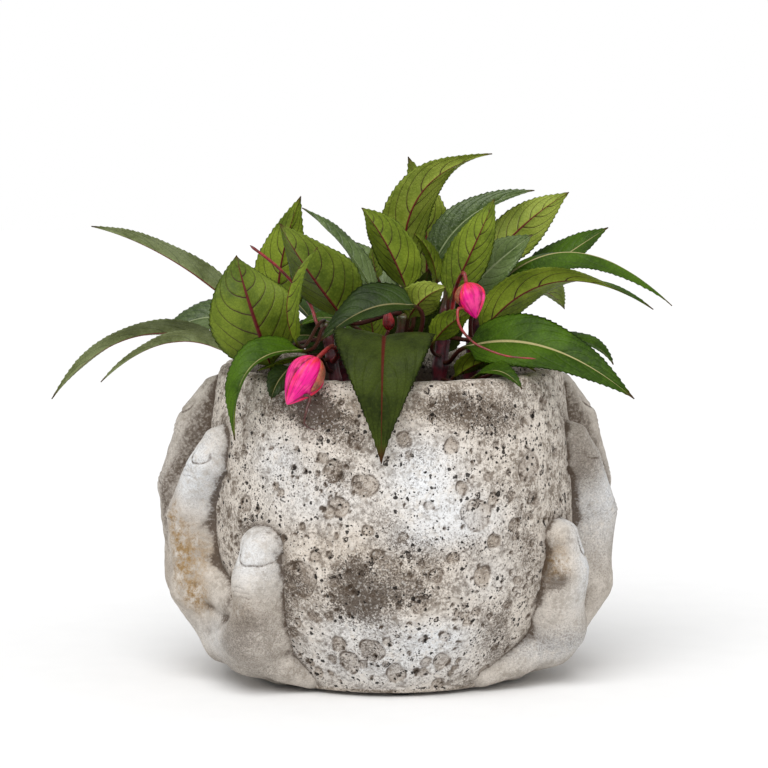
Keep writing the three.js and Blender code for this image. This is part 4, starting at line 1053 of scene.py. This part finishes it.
# A bud: top, tip and radius, the stem its stalk leaves and how far up, the stalk's way and radius,
# how far down the spur starts and its way, and for each sepal its facing, half width and length.
buds = {
    "bud_left": {
        "top": [-37, -82, 176], "tip": [-52, -95, 154], "radius": 8.6, "stem": "stem_left", "at": 0.6,
        "stalk": [[-27, -42, 174], [-30, -66, 180]], "stalkRadius": 1.2, "spurAt": 0.72,
        "spur": [[-42, -100, 152], [-43, -101, 145], [-38, -102, 142]],
        "sepals": [[[1, -0.35, 0], 0.62, 0.62], [[-0.3, 1, 0.3], 0.8, 0.45]],
    },
    "bud_right": {
        "top": [38, -51, 211], "tip": [43, -54, 193], "radius": 6.8, "stem": "stem_right", "at": 0.7,
        "stalk": [[33, -28, 205], [36.5, -47, 215.5]], "stalkRadius": 1.0, "spurAt": 0.66,
        "spur": [[34.5, -60, 190], [41, -61, 182], [49, -63, 178], [59, -65, 175], [73, -68, 174]],
        "sepals": [[[-1, -0.35, 0], 0.6, 0.5], [[0.5, 1, 0], 0.8, 0.45]],
    },
    "bud_small": {
        "top": [-1, -25, 184], "tip": [-2, -22, 195], "radius": 2.8, "stem": "stem_centre", "at": 0.35,
        "stalk": [[-7, -21, 167], [-4, -24, 177]], "stalkRadius": 0.9, "sepals": [],
    },
}
# the pale pink is a painted highlight; the deep pink is the streaks' colour and painted shade in the petals' overlaps
budLook = {
    "sides": 120, "rows": 90, "twist": 2.4, "overlap": 0.16, "fullness": 1.25, "spurRadius": 0.775, "stalkSides": 16,
    "sepalGrid": (26, 15), "pink": "#dc0082", "deep": "#7c0038", "coral": "#e02c2c", "pale": "#f0408c",
}
spentStalk = [[-43, -1, 197], [-58, -2, 214], [-73, -2, 226]]


# Petals: hot pink, with painted shade deep in the overlaps and along a thin line where one petal lies over the next,
# painted highlights in pale patches, coral along the petals' edges and near the stalk, and fine streaks that run down
# the bud.
def petalMaterial():
    material, tree = newMaterial("pinkPetal", 0.38, 0.35)
    cosine, sine, down, outer, edge, overlapShade = attributes(tree, "cosine", "sine", "down", "outer", "edge", "overlapShade")
    streak = noise(addNode("CombineXYZ", {0: cosine, 1: sine, 2: down}).outputs[0], 4.5, 4, 0.65)
    broad = noise(objectCoords(tree), 160, 2)
    colour = layered(
        # deep pink where a petal runs under the next is painted shade
        budLook["deep"],
        (spread(outer, 0.0, 0.5), budLook["pink"]),
        # pale patches: a painted highlight
        (spread(broad, 0.46, 0.6, 0.0, 0.65), budLook["pale"]),
        (times(edge, spread(streak, 0.36, 0.56)), budLook["coral"]),
        (spread(streak, 0.5, 0.6, 0.0, 0.5), budLook["deep"]),
        # painted shade along the line where one petal lies over the next
        (overlapShade, budLook["deep"]),
    )
    return coated(material, colour, streak, 0.0002)


petal = petalMaterial()
sepal = stalkMaterial("mottledSepal", "#b8242c", "#6a1a20", "#a8875a", 0.4)
redStalk = stalkMaterial("redStalk", "#9c1a28", "#54101a", "#7c5a30", 0.35)
maroonSpur = stalkMaterial("maroonSpur", "#420a10", "#240509", "#7c5a30", 0.35)


# Half width of the closed petals at a share v of their length and an angle: three petals
# wound round the axis, each lying over the next with a low step.
def budReach(radius, v, angle):
    wrap = ((3 * angle - budLook["twist"] * v) / (2 * np.pi)) % 1
    over = 1 + budLook["overlap"] * (smoothStep(0.0, 0.9, wrap) - 0.5) * (1 - smoothStep(0.93, 1.0, wrap))
    outline = np.sin(np.pi * np.clip(v, 0, 1) ** 0.82) ** 0.72 * (1 - 0.36 * v)
    return radius * budLook["fullness"] * outline * over, wrap


# A bud's top, the way from it to the tip, two ways across, and its length.
def budFrame(bud):
    top, tip = np.array(bud["top"], float), np.array(bud["tip"], float)
    along, base = unit(tip - top), np.array([0.0, 0.0, 1.0])
    sideways, upright = (carried(np.array(way), base, along) for way in ([1.0, 0.0, 0.0], [0.0, 1.0, 0.0]))
    return top, along, sideways, upright, np.linalg.norm(tip - top)


def budPoints(bud, reach, v, angle):
    top, along, sideways, upright, length = budFrame(bud)
    return (top + np.multiply.outer(v * length, along) + np.multiply.outer(reach * np.cos(angle), sideways)
            + np.multiply.outer(reach * np.sin(angle), upright))


# The angle round a bud that a direction points to.
def budAngle(bud, direction):
    _, _, sideways, upright, _ = budFrame(bud)
    return math.atan2(np.array(direction) @ upright, np.array(direction) @ sideways)


def makePetals(name, bud):
    angles = np.linspace(0, 2 * np.pi, budLook["sides"], endpoint=False)
    v, angle = np.meshgrid(np.linspace(0.004, 0.997, budLook["rows"]), angles, indexing="ij")
    reach, wrap = budReach(bud["radius"], v, angle)
    reach *= 1 + 0.012 * np.sin(angle * 23 + v * 7)
    edge = np.clip(smoothStep(0.72, 0.95, wrap) + smoothStep(0.45, 0.0, v), 0, 1)
    # a thin painted shade line where one petal lies over the next
    overlapShade = 0.85 * smoothStep(0.0, 0.008, wrap) * smoothStep(0.09, 0.0, wrap)
    values = {  # on the grid, then at the two ends
        "outer": (smoothStep(0.0, 0.5, wrap), 1, 1), "edge": (edge, 1, 0.3), "overlapShade": (overlapShade, 0, 0),
        "cosine": (np.cos(angle), 0, 0), "sine": (np.sin(angle), 0, 0), "down": (v * 0.35, 0, 0.35),
    }
    values = {key: np.append(grid, ends) for key, (grid, *ends) in values.items()}
    material = petal if "spur" in bud else sepal
    vertices, faceSets = closedTube(budPoints(bud, reach, v, angle))
    return makePiece(name + "_petals", vertices, faceSets, [material], "pink_petal", [name], values)


# A sepal: a thin pointed shell that hugs the top of the bud round one angle.
def makeSepal(name, node, bud, facing, wide, long):
    rows, columns = budLook["sepalGrid"]
    v, t = np.meshgrid(np.linspace(0.03, long, rows), np.linspace(-1, 1, columns), indexing="ij")
    share = (v - 0.03) / (long - 0.03)
    angle = budAngle(bud, facing) + wide * t * np.sqrt(np.clip(1 - share ** 1.6, 0.002, 1))
    reach = budReach(bud["radius"], v, angle)[0] * 1.05 + 0.35 + 0.5 * share ** 2 - 0.35 * np.abs(t) ** 3
    upper, lower = (budPoints(bud, reach - depth, v, angle) for depth in (0, 0.3))
    vertices, faceSets = closedTube(np.concatenate([upper, lower[:, ::-1]], axis=1))
    return makePiece(name, vertices, faceSets, [sepal], "leaf", [node], {"fresh": np.full(len(vertices), 0.42)})


# A thin stalk on a smooth line through its points, thicker at its root.
def makeStalk(name, points, radius, node, tipShare=1.0, rows=60, material=redStalk):
    share = np.linspace(0, 1, rows)
    radii = radius * (1.12 - (1.12 - tipShare) * share) * np.sqrt(np.clip(1 - smoothStep(0.96, 1, share) ** 2, 0.03, 1))
    rings = tubeRings(throughPoints(points, rows), radii, budLook["stalkSides"], 0.04)
    vertices, faceSets = closedTube(rings)
    return makePiece(name, vertices, faceSets, [material], "red_stalk", [node], {"fresh": np.full(len(vertices), 0.15)})


def rootOn(stemName, at, towards):
    point, out, radius = stemSeat(stemName, at, towards)
    return [point + out * radius * 0.4, point + out * (radius + 4)]


for budName, bud in buds.items():
    makePetals(budName, bud)
    for number, (facing, wide, long) in enumerate(bud["sepals"]):
        makeSepal(f"{budName}_sepal_{number + 1}", budName, bud, facing, wide, long)
    top, along, *_ = budFrame(bud)
    stalkWay = rootOn(bud["stem"], bud["at"], bud["stalk"][0]) + bud["stalk"] + [top + along * 0.6]
    makeStalk(budName + "_stalk_red", stalkWay, bud["stalkRadius"], budName + "_stalk")
    if "spur" in bud:
        angle = budAngle(bud, np.array(bud["spur"][0]) - top)
        reach = budReach(bud["radius"], bud["spurAt"], angle)[0]
        seats = [budPoints(bud, far, bud["spurAt"], angle) for far in (reach * 0.8, reach + 3.4)]
        makeStalk(budName + "_spur_red", seats + bud["spur"], budLook["spurRadius"], budName + "_spur", 0.5, 80,
                  maroonSpur if budName == "bud_left" else redStalk)
makeStalk("spent_stalk_red", rootOn("stem_left", 0.95, spentStalk[0]) + spentStalk, 0.85, "spent_stalk", 0.9)
print("buds made")


soilLook = {
    "top": 149.0, "edge": 146.0, "radius": 77.5, "rows": 70, "sides": 260, "grains": 420, "highest": 2.4,
    "rolling": [[0.8, 26, 41], [0.45, 8, 42], [0.3, 3.5, 43]],
    "below": [[1.0, 140.0], [0.97, 132.0], [0.5, 131.0]],  # share of the radius and height of the rings under it
    "dark": "#1c1411", "brown": "#4a3426", "pale": "#8a7a68", "black": "#0d0908",
}


def soilMaterial():
    material, tree = newMaterial("peatSoil", 0.98, 0.15)
    coords = objectCoords(tree)
    crumbs, fine = cells(coords, 420).outputs["Distance"], noise(coords, 1300, 5, 0.75)
    colour = layered(
        soilLook["dark"],
        (spread(fine, 0.35, 0.68), soilLook["brown"]),
        (spread(noise(coords, 160, 3), 0.55, 0.75, 0.0, 0.35), soilLook["pale"]),
        (spread(crumbs, 0.3, 0.6, 0.0, 0.7), soilLook["black"]),
    )
    return coated(material, colour, minus(fine, crumbs), 0.0012)


# The soil's crumbly top, and the body under it: rings run from the middle out, then down the
# side and back under. Crumbs are small humps, one round each seeded place.
def makeSoil():
    radius, top = soilLook["radius"], soilLook["top"]
    turn = np.linspace(0, 2 * np.pi, soilLook["sides"], endpoint=False)
    angle, r = np.meshgrid(turn, radius * np.linspace(0.01, 1, soilLook["rows"]))
    x, y = r * np.cos(angle), r * np.sin(angle)
    z = top - (top - soilLook["edge"]) * (r / radius) ** 2
    z += rolling(np.stack([x, y], -1), soilLook["rolling"])
    random = np.random.default_rng(44)
    places = random.uniform(-1, 1, (soilLook["grains"], 2)) * radius
    for place, size in zip(places, random.uniform(0.8, 2.6, soilLook["grains"])):
        far = np.hypot(x - place[0], y - place[1]) / size
        z += 0.55 * size * np.sqrt(np.clip(1 - far ** 2, 0, 1))
    z = np.minimum(z, top + soilLook["highest"])
    below = [np.stack([share * radius * np.cos(turn), share * radius * np.sin(turn), level + 0 * turn], -1)
             for share, level in soilLook["below"]]
    rings = np.concatenate([np.stack([x, y, z], -1), below])
    return makePiece("soil_surface", *closedTube(rings), [soilMaterial()], "potting_soil", ["soil"])


makeSoil()
print("soil made")


# Pads: the angle round the axis, counted from +X, and the distance from it.
padPlaces = {"pad_front": [-84, 52], "pad_right": [20, 60], "pad_back": [96, 52], "pad_left": [-160, 60]}
padLook = {
    "radius": 6.5, "height": 1.7, "sides": 48,
    # a pad's edge, rounded: share of its radius, share of its height
    "profile": [[0.3, 0], [0.8, 0], [0.94, 0.05], [1, 0.2], [1, 0.8], [0.95, 0.96], [0.8, 1], [0.3, 1]],
}


def feltMaterial():
    material, tree = newMaterial("blackFelt", 0.97, **{"Sheen Weight": 0.3})
    fibre = noise(objectCoords(tree), 2600, 5, 0.7, 1.5)
    return coated(material, layered("#0c0c0d", (spread(fibre, 0.35, 0.7), "#2c2b2b")), fibre, 0.0003)


# A pad: the profile carried round, with a little waver.
def makePad(name, angle, reach, material):
    share, height = np.array(padLook["profile"]).T[..., None]
    around = np.linspace(0, 2 * np.pi, padLook["sides"], endpoint=False)
    r = share * padLook["radius"] * (1 + 0.012 * np.sin(around * 11 + reach))
    x, y = reach * math.cos(math.radians(angle)), reach * math.sin(math.radians(angle))
    rings = np.stack([x + r * np.cos(around), y + r * np.sin(around), height * padLook["height"] + 0 * r], -1)
    return makePiece(name + "_felt", *closedTube(rings), [material], "black_felt", [name])


felt = feltMaterial()
for padName, (padAngle, padReach) in padPlaces.items():
    makePad(padName, padAngle, padReach, felt)
print("pads made")


# Metres and degrees: half the floor's side, the camera's target, distance and elevation, the
# width that it sees at the target, and its sensor in millimetres.
stageLook = {
    "floorHalf": 3.0, "target": [-0.0036, 0.0, 0.1535], "distance": 2.2, "elevation": 6.5, "seen": 0.3994,
    "sensor": 36, "skyLight": 0.62,
}


def makeFloor():
    half = stageLook["floorHalf"]
    mesh = bpy.data.meshes.new("floor")
    mesh.from_pydata([(-half, -half, 0), (half, -half, 0), (half, half, 0), (-half, half, 0)], [], [(0, 1, 2, 3)])
    material, tree = newMaterial("paleFloor", 0.95, 0.1)
    colour = layered("#efefef", (noise(objectCoords(tree), 40, 2), "#f3f3f3"))
    tree.links.new(colour, tree.nodes["Principled BSDF"].inputs["Base Color"])
    mesh.materials.append(material)
    addObject("floor", mesh)


# A lamp whose light comes from a direction.
def addLamp(name, kind, direction, **settings):
    light = bpy.data.lights.new(name, kind)
    for key, value in settings.items():
        setattr(light, key, value)
    lamp = addObject(name, light)
    lamp.rotation_euler = Vector(direction).to_track_quat("Z", "Y").to_euler()
    return lamp


makeFloor()
addLamp("softSun", "SUN", (-0.2, -0.95, 1.1), energy=2.35, angle=math.radians(50))
addLamp("fillLight", "AREA", (1.5, -1.3, 0.58), energy=4, size=1.2).location = (1.5, -1.3, 0.7)

# The sky is pure white where it is seen, and lights the object a little less.
world = bpy.data.worlds.new("studio")
bpy.context.scene.world = world
world.use_nodes = True
seenSky = world.node_tree.nodes["Background"]
seenSky.inputs["Color"].default_value = (1, 1, 1, 1)
lightSky = addNode("Background", {"Color": (1, 1, 1, 1), "Strength": stageLook["skyLight"]}, world.node_tree)
isSeen = addNode("LightPath", {}, world.node_tree).outputs["Is Camera Ray"]
mixed = addNode("MixShader", {0: isSeen, 1: lightSky.outputs[0], 2: seenSky.outputs[0]})
world.node_tree.links.new(mixed.outputs[0], world.node_tree.nodes["World Output"].inputs["Surface"])
bpy.context.scene.view_settings.view_transform = "Standard"

camera = addObject("camera", bpy.data.cameras.new("camera"))
slope = math.radians(stageLook["elevation"])
back = stageLook["distance"] * np.array([0, -math.cos(slope), math.sin(slope)])
camera.location = tuple(np.array(stageLook["target"]) + potAxis + back)
camera.rotation_euler = (math.pi / 2 - slope, 0, 0)
camera.data.sensor_width = stageLook["sensor"]
camera.data.lens = stageLook["sensor"] * stageLook["distance"] / stageLook["seen"]
camera.data.clip_end = 50
bpy.context.scene.camera = camera
print("stage set")
